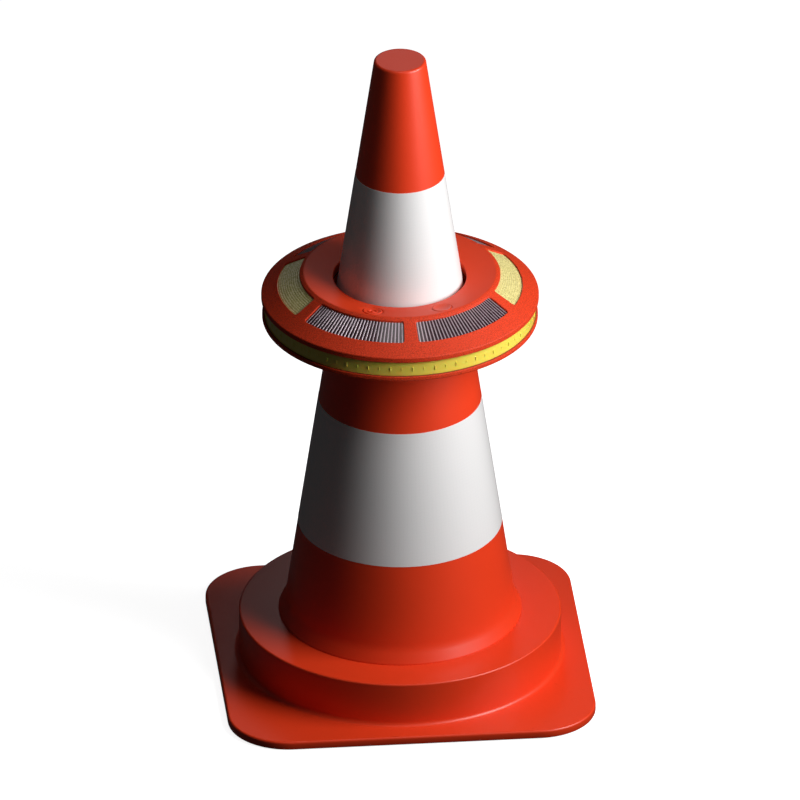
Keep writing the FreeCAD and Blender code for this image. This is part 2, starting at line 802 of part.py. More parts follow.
def make_button(node, azimuth):
    """A push button: cap level with the dish and hollowed for a finger, flange, and stem."""
    body = new_body(node)
    circle = S["button_circle"]
    flange_bottom = S["button_flange_top"] - S["button_flange_thickness"]
    pad_circles(body, [(circle, 0, S["button_flange_radius"])], flange_bottom,
                S["button_flange_thickness"])
    pad_circles(body, [(circle, 0, S["button_radius"])], S["button_flange_top"],
                S["crease_height"] + S["button_proud"] - S["button_flange_top"])
    pad_circles(body, [(circle, 0, S["button_stem_radius"])], S["button_stem_bottom"],
                flange_bottom - S["button_stem_bottom"])
    near = circle - S["button_flange_radius"]
    far = circle + S["button_flange_radius"]
    lift = S["button_proud"]
    clear = S["crease_height"] + S["button_flange_thickness"]
    turn(body, [(near, dish_height(near) + lift), (far, dish_height(far) + lift),
                (far, clear), (near, clear)], "Groove")

    rise = (S["button_bowl_radius"] - S["button_bowl_depth"]) / slant(DISH_SLOPE)
    bowl = body.newObject("PartDesign::SubtractiveSphere", node + "_bowl")
    bowl.AttachmentSupport = (origin_part(body, "XY_Plane"), [""])
    bowl.MapMode = "FlatFace"
    bowl.setExpression("Radius", S["button_bowl_radius"].text)
    bowl.setExpression("AttachmentOffset.Base.x", (circle - DISH_SLOPE * rise).text)
    bowl.setExpression("AttachmentOffset.Base.z", (dish_height(circle) + lift + rise).text)
    doc.recompute()
    keep(place(body, azimuth), node)


def make_button_boots():
    """Rubber boots that stand on the control board round each switch and the stem above it."""
    body = new_body("button_boots", many=True)
    low = S["board_bottom"] + S["board_thickness"]
    height = S["boot_height"]
    spots = [polar(S["button_circle"], side * S["button_azimuth"]) for side in (-1, 1)]
    pad_circles(body, [(x, y, S["boot_outer_radius"]) for x, y in spots], low, height)
    pocket_circles(body, [(x, y, S["boot_inner_radius"]) for x, y in spots], low + height, height)
    keep(body, "button_boots")


# ---- Electronics ------------------------------------------------------------------------------

def make_boards():
    """Control board under the buttons and the ring board that carries the LEDs."""
    board = new_body("control_board")
    low = S["board_bottom"]
    high = low + S["board_thickness"]
    turn(board, [(S["board_inner_radius"], low), (S["board_outer_radius"], low),
                 (S["board_outer_radius"], high), (S["board_inner_radius"], high)],
         angle=S["board_half_angle"] * 2)
    keep(place(board, 0), "control_board")

    low = S["lip_top"]
    high = low + S["board_thickness"]
    turned_ring("led_board", [(S["led_board_inner_radius"], low), (S["led_board_outer_radius"], low),
                              (S["led_board_outer_radius"], high),
                              (S["led_board_inner_radius"], high)])


def make_leds():
    """Round LEDs standing on the ring board and facing outwards."""
    body = new_body("leds", many=True)
    foot = S["lip_top"] + S["board_thickness"]
    centre = S["led_height"]
    sketch = new_sketch(body, "YZ_Plane", S["led_back"])
    draw_circle(sketch, 0, centre, S["led_radius"])
    barrel = add_feature(body, "Pad", sketch, Length=S["led_front"] - S["led_back"])
    doc.recompute()
    stem = pad_circles(body, [(S["led_back"] + S["led_stem_setback"], 0, S["led_stem_radius"])],
                       foot, centre - foot)
    repeat(body, [barrel, stem], S["led_count"])
    keep(body, "leds")


def make_switches():
    """Two tact switches on the control board, one under each button."""
    body = new_body("tact_switches", many=True)
    low = S["board_bottom"] + S["board_thickness"]
    spots = [polar(S["button_circle"], side * S["button_azimuth"]) for side in (-1, 1)]
    sketch = new_sketch(body, "XY_Plane", low)
    half = S["switch_side"] / 2
    for x, y in spots:
        draw_outline(sketch, [(x - half, y - half), (x + half, y - half),
                              (x + half, y + half), (x - half, y + half)])
    add_feature(body, "Pad", sketch, Length=S["switch_height"])
    doc.recompute()
    pad_circles(body, [(x, y, S["switch_knob_radius"]) for x, y in spots],
                low + S["switch_height"], S["switch_knob_height"])
    keep(body, "tact_switches")


def make_board_parts():
    """Driver chip, capacitor and connector under the control board."""
    body = new_body("board_components", many=True)
    top = S["board_bottom"]
    circle = S["chip_circle"]
    sketch = new_sketch(body, "XY_Plane", top - S["chip_height"])
    for middle, length, width in ((Dim(0), S["chip_side"], S["chip_side"]),
                                  (-S["plug_side"], S["plug_length"], S["plug_width"])):
        left, right = middle - length / 2, middle + length / 2
        front, back = -circle - width / 2, -circle + width / 2
        draw_outline(sketch, [(left, front), (right, front), (right, back), (left, back)])
    add_feature(body, "Pad", sketch, Length=S["chip_height"])
    doc.recompute()
    pad_circles(body, [(S["capacitor_side"], -circle, S["capacitor_radius"])],
                top - S["capacitor_length"], S["capacitor_length"])
    keep(body, "board_components")


def bind(thing, **expressions):
    for name, size in expressions.items():
        thing.setExpression(name.replace("_", "."), Dim.of(size).text)
    return thing


def make_battery(side_name, side):
    """One rechargeable cell lying along the ring, the cradle it lies in and its lead."""
    azimuth = side * S["cell_azimuth"].value
    circle = S["cell_circle"]
    height = S["cell_height"]
    floor = S["lamp_bottom"] + S["lamp_floor"]
    turned = FreeCAD.Rotation(FreeCAD.Vector(0, 0, 1), azimuth - 90)

    def set_down(piece, local, extra=FreeCAD.Rotation()):
        spot = FreeCAD.Vector(*[Dim.of(item).value for item in local])
        piece.Placement = FreeCAD.Placement(turned.multVec(spot), turned * extra)
        return piece

    along = FreeCAD.Rotation(FreeCAD.Vector(1, 0, 0), -90)
    cell = doc.addObject("Part::Cylinder", f"cell_{side_name}")
    bind(cell, Radius=S["cell_radius"], Height=S["cell_length"])
    set_down(cell, (circle, -(S["cell_length"] / 2), height), along)
    keep(cell, f"battery_cell_{side_name}")

    block = doc.addObject("Part::Box", f"cradle_block_{side_name}")
    bind(block, Length=S["cradle_width"], Width=S["cradle_length"], Height=S["cradle_height"])
    set_down(block, (circle - S["cradle_width"] / 2, -(S["cradle_length"] / 2), floor))
    hollow = doc.addObject("Part::Cylinder", f"cradle_hollow_{side_name}")
    bind(hollow, Radius=S["cell_radius"] + S["cradle_play"], Height=S["cell_length"])
    set_down(hollow, (circle, -(S["cell_length"] / 2), height), along)
    cradle = doc.addObject("Part::Cut", f"cradle_{side_name}")
    cradle.Base = block
    cradle.Tool = hollow
    keep(cradle, f"battery_cradle_{side_name}")

    half = S["cell_length"].value / 2
    lead_circle = math.hypot(circle.value, half)
    start = S["cell_azimuth"].value - math.degrees(math.atan2(half, circle.value)) - 0.6
    finish = S["lead_end_azimuth"].value
    run = doc.addObject("Part::Torus", f"lead_run_{side_name}")
    bind(run, Radius2=S["lead_radius"])
    run.Radius1 = lead_circle
    run.Angle3 = start - finish
    first = min(side * start, side * finish) - 90
    run.Placement = FreeCAD.Placement(FreeCAD.Vector(0, 0, height.value),
                                      FreeCAD.Rotation(FreeCAD.Vector(0, 0, 1), first))
    bend_angle = math.radians(side * finish - 90)
    bend_spot = FreeCAD.Vector(lead_circle * math.cos(bend_angle),
                               lead_circle * math.sin(bend_angle), height.value)
    bend = doc.addObject("Part::Sphere", f"lead_bend_{side_name}")
    bind(bend, Radius=S["lead_radius"])
    bend.Placement.Base = bend_spot
    riser = doc.addObject("Part::Cylinder", f"lead_riser_{side_name}")
    bind(riser, Radius=S["lead_radius"], Height=S["board_bottom"] - height)
    riser.Placement.Base = bend_spot
    lead = doc.addObject("Part::MultiFuse", f"lead_{side_name}")
    lead.Shapes = [run, bend, riser]
    keep(lead, f"battery_lead_{side_name}")


# ---- The whole assembly -----------------------------------------------------------------------

def build():
    make_cone_shell()
    make_sleeve("upper_sleeve", S["upper_sleeve_top"], S["upper_sleeve_bottom"])
    make_sleeve("lower_sleeve", S["lower_sleeve_top"], S["lower_sleeve_bottom"])
    make_base()
    make_ballast()
    make_base_cover()
    make_top_shell()
    make_bottom_shell()
    make_lens()
    make_bore_seal()
    make_seat()
    make_shell_screws()
    for node, azimuth in (("solar_panel_front_right", 30), ("solar_panel_front_left", -30),
                          ("solar_panel_rear_right", 150), ("solar_panel_rear_left", -150),
                          ("reflector_right", 90), ("reflector_left", -90)):
        make_window_piece(node, azimuth)
    make_button("power_button", S["button_azimuth"])
    make_button("mode_button", -S["button_azimuth"])
    make_button_boots()
    make_boards()
    make_leds()
    make_switches()
    make_board_parts()
    make_battery("right", 1)
    make_battery("left", -1)


def check_and_write():
    """Check every object and every piece, then write one STEP file for each piece."""
    doc.recompute()
    for thing in doc.Objects:
        if "Invalid" in thing.State or "Error" in thing.State:
            raise RuntimeError(f"{thing.Name} failed: {thing.State}")
    os.makedirs("parts", exist_ok=True)
    for piece in NODES:
        shape = piece.Shape
        if shape.isNull() or not shape.isValid() or shape.Volume <= 0:
            raise RuntimeError(f"{piece.Label} has a bad shape")
    for piece in NODES:
        piece.Shape.exportStep(f"parts/{piece.Label}.step")
        box = piece.Shape.BoundBox
        print(f"{piece.Label}: {len(piece.Shape.Solids)} solid(s), {piece.Shape.Volume / 1000:.2f} cm3,"
              f" z {box.ZMin:.1f} to {box.ZMax:.1f}")


build()
check_and_write()
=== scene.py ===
"""Finished surfaces for a road cone with a ring-shaped solar warning lamp.

Lengths in the script are metres. Azimuths are degrees from -Y towards +X, as seen from above.
"""

import math

import bmesh
import bpy
from bpy.props import FloatProperty, FloatVectorProperty, IntProperty, PointerProperty
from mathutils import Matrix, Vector


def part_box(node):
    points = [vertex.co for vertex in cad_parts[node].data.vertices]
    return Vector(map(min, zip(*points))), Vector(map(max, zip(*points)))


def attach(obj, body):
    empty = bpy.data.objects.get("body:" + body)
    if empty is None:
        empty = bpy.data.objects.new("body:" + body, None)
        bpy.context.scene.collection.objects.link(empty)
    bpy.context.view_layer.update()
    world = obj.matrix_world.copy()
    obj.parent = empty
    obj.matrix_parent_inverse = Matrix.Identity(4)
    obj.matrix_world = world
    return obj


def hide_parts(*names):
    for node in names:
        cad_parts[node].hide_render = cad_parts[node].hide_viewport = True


bl_info = {
    "name": "Cone with ring lamp",
    "version": (1, 0, 0),
    "blender": (4, 5, 0),
    "location": "View3D > Sidebar > Cone Lamp",
    "description": "Builds the finished surfaces of a road cone and its ring-shaped solar lamp",
    "category": "Object",
}

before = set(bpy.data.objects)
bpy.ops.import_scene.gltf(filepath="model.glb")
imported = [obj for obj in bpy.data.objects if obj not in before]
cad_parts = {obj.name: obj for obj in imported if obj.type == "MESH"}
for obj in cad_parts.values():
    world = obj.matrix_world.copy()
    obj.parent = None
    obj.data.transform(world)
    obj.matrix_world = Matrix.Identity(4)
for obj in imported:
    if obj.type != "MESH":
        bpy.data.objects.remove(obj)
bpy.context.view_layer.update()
MM = 0.001
STEP = 0.75
ROUND = [STEP * index for index in range(int(360 / STEP))]


# ---- Settings ---------------------------------------------------------------------------------

def length(name, text, millimetres):
    return FloatProperty(name=name, description=text, default=millimetres * MM, unit="LENGTH",
                         precision=4)


def amount(name, text, default):
    return FloatProperty(name=name, description=text, default=default, min=0.0)


def whole(name, text, default):
    return IntProperty(name=name, description=text, default=default, min=1)


def colour(name, text, default):
    return FloatVectorProperty(name=name, description=text, default=default, subtype="COLOR",
                               size=3, min=0.0, max=1.0)


class ConeSettings(bpy.types.PropertyGroup):
    wall: length("Wall", "Thickness of the hollow cone", 3.0)
    top_round: length("Top rounding", "Radius of the edge round the closed top", 3.0)
    flare_radius: length("Flare radius", "Outer radius of the flare on the plinth", 134.9)
    flare_edge: length("Flare edge", "Thickness of the flare's edge", 1.2)
    flare_height: length("Flare height", "Height of the flare over its edge", 15.0)
    flare_round: length("Flare rounding", "Radius between the cone and its flare", 30.0)
    flange_radius: length("Flange radius", "Radius of the flange held in the base", 149.0)
    sleeve_recess: length("Sleeve recess", "Depth that the sleeves lie in", 0.5)
    seam_width: length("Seam width", "Overlap where a sleeve's ends meet", 12.0)
    plinth_radius: length("Plinth radius", "Radius of the round plinth", 179.1)
    plinth_round: length("Plinth rounding", "Radius of the plinth's top edge", 2.0)
    plinth_foot: length("Plinth foot", "Radius between plinth and plate", 5.0)
    plinth_roof: length("Plinth roof", "Thickness over the cone's flange", 8.0)
    plate_top: length("Plate top", "Height of the square plate's top", 11.0)
    plate_corner: length("Plate corner", "Radius of the plate's corners", 67.0)
    plate_round: length("Plate edge", "Radius of the plate's top edge", 2.5)


class LampSettings(bpy.types.PropertyGroup):
    bore_gap: length("Bore gap", "Space between the cone and the lamp's bore", 5.2)
    mouth_height: length("Mouth height", "Height of the bore's upper edge", 480.6)
    crease_radius: length("Crease radius", "Where the two slopes of the top meet", 106.5)
    crease_height: length("Crease height", "Height where the two slopes meet", 486.0)
    crease_round: length("Crease rounding", "Radius of the crease", 3.5)
    rim_radius: length("Rim radius", "Outer radius of the top shell", 153.5)
    rim_top: length("Rim top", "Height of the upper edge of the rim", 459.5)
    rim_bottom: length("Rim bottom", "Height of the lower edge of the rim", 453.6)
    shell: length("Shell", "Thickness of the top shell", 2.0)
    floor: length("Floor", "Thickness of the bottom shell's floor", 2.5)
    window_inner: length("Window inner radius", "Inner edge of the windows", 111.0)
    window_outer: length("Window outer radius", "Outer edge of the windows", 135.5)
    window_half: amount("Window half angle", "Half of a window's span in degrees", 26.6)
    window_corner: length("Window corner", "Radius of the windows' corners", 3.0)
    window_edge: length("Window edge", "Rounding of the windows' edges", 0.6)
    windows: whole("Windows", "Number of windows in the top shell", 6)
    fingers: whole("Fingers", "Metal contact lines in one window", 30)
    finger_width: length("Finger width", "Width of one contact line", 1.45)
    prism: length("Prism", "Width of one reflector prism", 2.3)
    lens_radius: length("Lens radius", "Outer radius of the lens", 150.0)
    lens_wall: length("Lens wall", "Thickness of the lens", 2.5)
    lens_marks: whole("Lens marks", "Short upright ribs round the lens", 76)
    lip_radius: length("Lip radius", "Outer radius of the bottom shell", 152.5)
    lip_top: length("Lip top", "Height of the bottom shell's lip", 435.3)
    button_circle: length("Button circle", "Distance of the buttons from the axis", 93.4)
    button_azimuth: amount("Button azimuth", "Buttons' azimuth either side of the front", 24.3)
    button_radius: length("Button radius", "Radius of a button's cap", 11.2)
    button_bowl: length("Button bowl", "Depth of the hollow in a button's cap", 1.3)
    button_gap: length("Button gap", "Gap round a button's cap", 0.3)
    screw_circle: length("Screw circle", "Distance of the screws from the axis", 124.0)
    screw_head: length("Screw head", "Radius of the screws' recess", 3.0)


class FinishSettings(bpy.types.PropertyGroup):
    cone_orange: colour("Cone orange", "Colour of the cone and base", (0.86, 0.050, 0.010))
    shell_orange: colour("Shell orange", "Colour of the lamp's shells", (0.80, 0.052, 0.011))
    sleeve_white: colour("Sleeve white", "Colour of the sleeves", (0.87, 0.865, 0.86))
    lens_yellow: colour("Lens yellow", "Colour of the lens", (1.0, 0.775, 0.11))
    reflector_yellow: colour("Reflector yellow", "Colour of the reflectors", (0.72, 0.63, 0.24))
    cell_dark: colour("Cell colour", "Colour of the solar cells", (0.020, 0.006, 0.010))
    rubber: colour("Rubber colour", "Colour of seals, seat and feet", (0.022, 0.021, 0.020))


def cone_sizes():
    return bpy.context.scene.cone_body


def lamp_sizes():
    return bpy.context.scene.cone_lamp


def colours():
    return bpy.context.scene.cone_finish


# ---- Shader maths -----------------------------------------------------------------------------

class Value:
    """A shader socket that works in sums, so that maths on it reads as Python."""

    def __init__(self, finish, socket):
        self.finish = finish
        self.socket = socket

    def maths(self, operation, *others):
        return self.finish.node("ShaderNodeMath", {"operation": operation}, (self, *others))

    def __add__(self, other):
        return self.maths("ADD", other)

    def __sub__(self, other):
        return self.maths("SUBTRACT", other)

    def __rsub__(self, other):
        return self.finish.node("ShaderNodeMath", {"operation": "SUBTRACT"}, (other, self))

    def __mul__(self, other):
        return self.maths("MULTIPLY", other)

    __radd__ = __add__
    __rmul__ = __mul__

    def clip(self, low, high):
        """0 below low, 1 above high, and a smooth step between."""
        return self.finish.node("ShaderNodeMapRange", {"interpolation_type": "SMOOTHSTEP"},
                                {"Value": self, "From Min": low, "From Max": high})


class Finish:
    """A material being made: a Principled surface and the nodes that feed it."""

    def __init__(self, name, **constants):
        self.material = bpy.data.materials.new(name)
        self.material.use_nodes = True
        self.tree = self.material.node_tree
        self.surface = self.tree.nodes["Principled BSDF"]
        for socket, number in constants.items():
            self.surface.inputs[socket.replace("_", " ")].default_value = number
        self.place = self.node("ShaderNodeTexCoord", output="Object")

    def node(self, kind, settings=None, inputs=(), output=0):
        """Add a node, apply its settings, then feed its sockets by position or by name."""
        made = self.tree.nodes.new(kind)
        for name, setting in (settings or {}).items():
            setattr(made, name, setting)
        named = inputs.items() if isinstance(inputs, dict) else enumerate(inputs)
        for key, item in named:
            self.feed(made.inputs[key], item)
        return Value(self, made.outputs[output])

    def feed(self, socket, item):
        if isinstance(item, Value):
            self.tree.links.new(item.socket, socket)
        elif hasattr(socket.default_value, "__len__") and not hasattr(item, "__len__"):
            socket.default_value = [item] * len(socket.default_value)
        elif hasattr(item, "__len__") and len(socket.default_value) == len(item) + 1:
            socket.default_value = (*item, 1.0)
        else:
            socket.default_value = item

    def noise(self, scale, detail=2.0, rough=0.5):
        return self.node("ShaderNodeTexNoise", inputs={"Vector": self.place, "Scale": scale,
                                                       "Detail": detail, "Roughness": rough})

    def patches(self, scale):
        """A random number for each small cell of the surface."""
        return self.part("X", self.node("ShaderNodeTexVoronoi", {"feature": "F1"},
                                        {"Vector": self.place, "Scale": scale}, "Color"))

    def borders(self, scale, place, low, high, **settings):
        """0 along the borders between small cells and 1 inside them."""
        return self.node("ShaderNodeTexVoronoi", {"feature": "DISTANCE_TO_EDGE"},
                         {"Vector": place, "Scale": scale, **settings}, "Distance").clip(low, high)

    def mix(self, factor, first, second):
        """Blend two colours by a factor."""
        made = self.tree.nodes.new("ShaderNodeMix")
        made.data_type = "RGBA"
        for socket, item in zip((made.inputs[0], made.inputs[6], made.inputs[7]),
                                (factor, first, second)):
            self.feed(socket, item)
        return Value(self, made.outputs[2])

    def vary(self, factor, tone, low, high):
        """Blend from a darker to a lighter shade of a colour."""
        return self.mix(factor, shade(tone, low), shade(tone, high))

    def part(self, axis, place=None):
        """One coordinate of a place."""
        return self.node("ShaderNodeSeparateXYZ", inputs=(place or self.place,), output=axis)

    def bump(self, height, depth, under=None):
        """A bump of a real depth in metres, laid over another if one is given."""
        inputs = {"Height": height, "Distance": depth, "Strength": 1.0}
        if under:
            inputs["Normal"] = under
        return self.node("ShaderNodeBump", inputs=inputs)

    def put(self, **sockets):
        for name, item in sockets.items():
            self.feed(self.surface.inputs[name.replace("_", " ")], item)
        return self.material


def shade(tone, factor):
    """A colour made darker or lighter."""
    return tuple(min(1.0, channel * factor) for channel in tone)


def moulded_plastic(name, tone, roughness, grain, depth, coat=0.0):
    """Moulded plastic: cloudy colour, uneven gloss and a fine surface grain."""
    finish = Finish(name, Coat_Weight=coat, Coat_Roughness=0.25)
    cloud = finish.noise(14.0, 3.0)
    fine = finish.noise(1.0 / grain, 3.0, 0.6)
    tint = finish.vary(cloud, tone, 0.93, 1.05)
    gloss = finish.noise(55.0, 4.0) * 0.10 + (roughness - 0.05)
    return finish.put(Base_Color=tint, Roughness=gloss, Normal=finish.bump(fine, depth))


def cone_plastic():
    """Flexible PVC of the cone and base: smooth skin, faint ripple and a little road dust."""
    tone = colours().cone_orange
    finish = Finish("cone_orange_pvc", Coat_Weight=0.18, Coat_Roughness=0.22, IOR=1.5)
    height = finish.part("Z")
    cloud = finish.noise(9.0, 3.0)
    scuff = finish.noise(160.0, 5.0, 0.7).clip(0.60, 0.74) * (1.0 - height.clip(0.0, 0.10)) * 0.25
    tint = finish.vary(cloud, tone, 0.95, 1.04)
    dusty = finish.mix(scuff, tint, shade(tone, 0.62))
    gloss = cloud * 0.08 + 0.36 + scuff * 0.4
    ripple = finish.bump(finish.noise(38.0, 1.0), 0.12 * MM)
    skin = finish.bump(finish.noise(900.0, 2.0), 0.012 * MM, ripple)
    return finish.put(Base_Color=dusty, Roughness=gloss, Normal=skin)


def shell_plastic():
    """Lamp housing: spark-eroded grain on the outer slope and rim, smoother in the dish."""
    lamp = lamp_sizes()
    tone = colours().shell_orange
    finish = Finish("lamp_orange_shell", IOR=1.5, Specular_IOR_Level=0.3)
    x, y = finish.part("X"), finish.part("Y")
    radius = (x * x + y * y).maths("SQRT")
    outer = radius.clip(lamp.crease_radius - 1.0 * MM, lamp.crease_radius + 1.5 * MM)
    cloud = finish.noise(16.0, 3.0)
    grain = finish.noise(900.0, 3.0, 0.7)
    speckle = (1.0 - grain.clip(0.38, 0.56)) * outer
    tint = finish.vary(cloud, tone, 0.95, 1.04)
    plain = finish.mix(speckle, tint, shade(tone, 0.60))
    gloss = outer * 0.12 + 0.42 + cloud * 0.06
    soft = finish.bump(finish.noise(500.0, 2.0), 0.010 * MM)
    rough = finish.bump(grain * outer, 0.40 * MM, soft)
    return finish.put(Base_Color=plain, Roughness=gloss, Normal=rough)


def sleeve_film():
    """Retroreflective film: white, with a faint honeycomb of sealed cells."""
    tone = colours().sleeve_white
    finish = Finish("sleeve_white_film", Coat_Weight=0.25, Coat_Roughness=0.18)
    chart = finish.node("ShaderNodeUVMap", {"uv_map": "chart"})
    line = 1.0 - finish.borders(260.0, chart, 0.02, 0.09, Randomness=0.22)
    cloud = finish.noise(11.0, 2.0)
    tint = finish.mix(cloud, shade(tone, 0.975), tone)
    lined = finish.mix(line * 0.35, tint, shade(tone, 0.93))
    gloss = cloud * 0.06 + 0.34
    return finish.put(Base_Color=lined, Roughness=gloss, Normal=finish.bump(line, -0.015 * MM))


def lens_plastic():
    """Tinted clear lens: deep glossy yellow that glows a little, with painted shade near its top and
    bottom edges.
    """
    tone = colours().lens_yellow
    finish = Finish("lens_yellow_clear", Coat_Weight=0.5, Coat_Roughness=0.06, IOR=1.58,
                    Subsurface_Weight=0.25, Subsurface_Scale=3.0 * MM)
    low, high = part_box("lens_ring")
    # Painted shade: the band turns darker and more orange towards its top and bottom edges, where the
    # rim and lip overhang it.
    edge = (finish.part("Z") - (low.z + high.z) / 2).maths("ABSOLUTE").clip(5.0 * MM, 9.0 * MM)
    flow = finish.noise(60.0, 2.0)
    tint = finish.vary(flow, tone, 0.95, 1.03)
    deep = finish.mix(edge * 0.5, tint, (tone[0] * 0.85, tone[1] * 0.72, tone[2] * 0.6))
    return finish.put(Base_Color=deep, Roughness=flow * 0.06 + 0.16,
                      Normal=finish.bump(flow, 0.02 * MM))


def reflector_plastic():
    """Prismatic reflector: pale yellow facets with a sparkle that varies from prism to prism."""
    tone = colours().reflector_yellow
    finish = Finish("reflector_yellow_prism", Coat_Weight=0.6, Coat_Roughness=0.08, IOR=1.58)
    pick = finish.patches(700.0)
    tint = finish.vary(pick, tone, 0.86, 1.10)
    return finish.put(Base_Color=tint, Roughness=pick * 0.20 + 0.16,
                      Normal=finish.bump(finish.noise(900.0, 2.0), 0.02 * MM))


def cell_glass():
    """Solar cell under clear resin: very dark, slightly purple, with crystal patches."""
    tone = colours().cell_dark
    finish = Finish("solar_cell_resin", Coat_Weight=0.7, Coat_Roughness=0.10, IOR=1.5)
    pick = finish.patches(210.0)
    tint = finish.mix(pick, tone, shade(tone, 2.4))
    return finish.put(Base_Color=tint, Roughness=pick * 0.12 + 0.30,
                      Normal=finish.bump(finish.noise(350.0, 2.0), 0.01 * MM))


def contact_silver():
    """Printed silver contact lines of the solar cells."""
    finish = Finish("solar_contact_silver", Coat_Weight=0.3, Coat_Roughness=0.15)
    grain = finish.noise(1500.0, 3.0)
    tint = finish.mix(grain, (0.58, 0.47, 0.52), (0.78, 0.66, 0.72))
    return finish.put(Base_Color=tint, Metallic=grain * 0.2 + 0.65, Roughness=grain * 0.15 + 0.34,
                      Normal=finish.bump(grain, 0.01 * MM))


def soft_rubber():
    """Black rubber of the seat, seals and feet."""
    tone = colours().rubber
    finish = Finish("black_rubber_matt")
    bloom = finish.noise(120.0, 4.0)
    tint = finish.mix(bloom, tone, shade(tone, 1.9))
    return finish.put(Base_Color=tint, Roughness=bloom * 0.18 + 0.58,
                      Normal=finish.bump(finish.noise(1600.0, 3.0), 0.03 * MM))


def plated_steel():
    """Zinc-plated screws with fine turning marks."""
    finish = Finish("zinc_plated_steel", Metallic=1.0)
    bloom = finish.noise(700.0, 3.0)
    tint = finish.mix(bloom, (0.50, 0.50, 0.52), (0.68, 0.67, 0.66))
    return finish.put(Base_Color=tint, Roughness=bloom * 0.18 + 0.26,
                      Normal=finish.bump(bloom, 0.01 * MM))


def circuit_resist():
    """Green solder resist over copper tracks."""
    finish = Finish("circuit_board_green", Coat_Weight=0.4, Coat_Roughness=0.15)
    track = finish.borders(240.0, finish.place, 0.03, 0.06)
    tint = finish.mix(track, (0.05, 0.22, 0.09), (0.015, 0.10, 0.035))
    return finish.put(Base_Color=tint, Roughness=track * 0.08 + 0.32,
                      Normal=finish.bump(track, -0.02 * MM))


# ---- Mesh helpers -----------------------------------------------------------------------------

def spot(radius, azimuth, height):
    """The point at a distance from the axis, an azimuth and a height."""
    turn = math.radians(azimuth)
    return Vector((radius * math.sin(turn), -radius * math.cos(turn), height))


def polar(point):
    """Azimuth and radius of a point, the azimuth in degrees."""
    return math.degrees(math.atan2(point.x, -point.y)), math.hypot(point.x, point.y)


def rounded(corners, closed=False, steps=6):
    """Points along an outline of (radius, height) or (radius, height, rounding) corners."""
    spots = [Vector(corner[:2]) for corner in corners]
    path = []
    for index, corner in enumerate(corners):
        here = spots[index]
        size = corner[2] if len(corner) > 2 else 0.0
        inside = closed or 0 < index < len(corners) - 1
        if not (size and inside):
            path.append(here)
            continue
        back = (spots[index - 1] - here).normalized()
        ahead = (spots[(index + 1) % len(corners)] - here).normalized()
        half = back.angle(ahead) / 2
        heart = here + (back + ahead).normalized() * (size / math.sin(half))
        start = here + back * (size / math.tan(half)) - heart
        finish = here + ahead * (size / math.tan(half)) - heart
        sweep = start.angle_signed(finish)
        path.append(heart + start - back * -min(size * 0.3, 0.3 * MM))
        for step in range(steps + 1):
            angle = -sweep * step / steps
            path.append(heart + Vector((start.x * math.cos(angle) - start.y * math.sin(angle),
                                        start.x * math.sin(angle) + start.y * math.cos(angle))))
        path.append(heart + finish + ahead * min(size * 0.3, 0.3 * MM))
    return path


class Skin:
    """A surface being made from loops of points that are joined into quads."""

    def __init__(self):
        self.points = []
        self.faces = []

    def loop(self, points):
        start = len(self.points)
        self.points += points
        return list(range(start, len(self.points)))

    def join_all(self, loops, closed=True):
        for first, second in zip(loops, loops[1:]):
            count = len(first)
            for index in range(count if closed else count - 1):
                following = (index + 1) % count
                self.faces.append((first[index], first[following], second[following],
                                   second[index]))

    def tube(self, loops):
        """Join loops and close both ends."""
        self.join_all(loops)
        self.cap(loops[0])
        self.cap(reversed(loops[-1]))

    def turn(self, path, azimuths=ROUND, closed=False):
        """Turn a path of (radius, height) points round the axis."""
        loops = [self.loop([spot(radius, azimuth, height) for azimuth in azimuths])
                 for radius, height in path]
        self.join_all(loops + loops[:1] if closed else loops)

    def cap(self, indices):
        self.faces.append(tuple(indices))

    def sector(self, first, last, inner, outer, levels, outline, height):
        """A patch of a ring with a hole in it.

        levels are (reach, grow, drop): reach 0 is the patch's border and 1 the hole's edge, grow
        widens the hole, and drop is the depth under the surface.
        """
        azimuths = [first + STEP * index for index in range(round((last - first) / STEP) + 1)]
        rows = max(6, round((outer - inner) / (2.0 * MM)))
        radii = [inner + (outer - inner) * row / rows for row in range(rows + 1)]
        border = [(azimuth, outer) for azimuth in azimuths]
        border += [(last, radius) for radius in reversed(radii[1:-1])]
        border += [(azimuth, inner) for azimuth in reversed(azimuths)]
        border += [(first, radius) for radius in radii[1:-1]]
        loops = []
        for reach, grow, drop in levels:
            ring = []
            for azimuth, radius in border:
                edge_azimuth, edge_radius = outline(azimuth, radius, grow)
                near = azimuth + (edge_azimuth - azimuth) * reach
                away = radius + (edge_radius - radius) * reach
                ring.append(spot(away, near, height(away) - drop))
            loops.append(self.loop(ring))
        self.join_all(loops)
        return loops

    def mesh(self, name, sharp=32.0, chart=False):
        """The finished mesh: welded, faced outwards and shaded smooth."""
        work = bmesh.new()
        corners = [work.verts.new(point) for point in self.points]
        for face in self.faces:
            if len(set(face)) == len(face):
                work.faces.new([corners[index] for index in face])
        bmesh.ops.remove_doubles(work, verts=work.verts, dist=0.002 * MM)
        bmesh.ops.dissolve_degenerate(work, edges=work.edges, dist=0.001 * MM)
        bmesh.ops.recalc_face_normals(work, faces=work.faces)
        for face in work.faces:
            face.smooth = True
        if chart:
            unwrap(work)
        data = bpy.data.meshes.new(name)
        work.to_mesh(data)
        work.free()
        data.set_sharp_from_angle(angle=math.radians(sharp))
        return data

    def settle(self, name, material, body, slot, *nodes, chart=False):
        """Make the finished piece and hand it over."""
        settle(new_object(name, self.mesh(name, chart=chart), material), body, slot, *nodes)


def ring_skin(corners, steps=3):
    """A closed outline of (radius, height) corners turned round the axis."""
    skin = Skin()
    skin.turn(rounded(corners, closed=True, steps=steps), closed=True)
    return skin


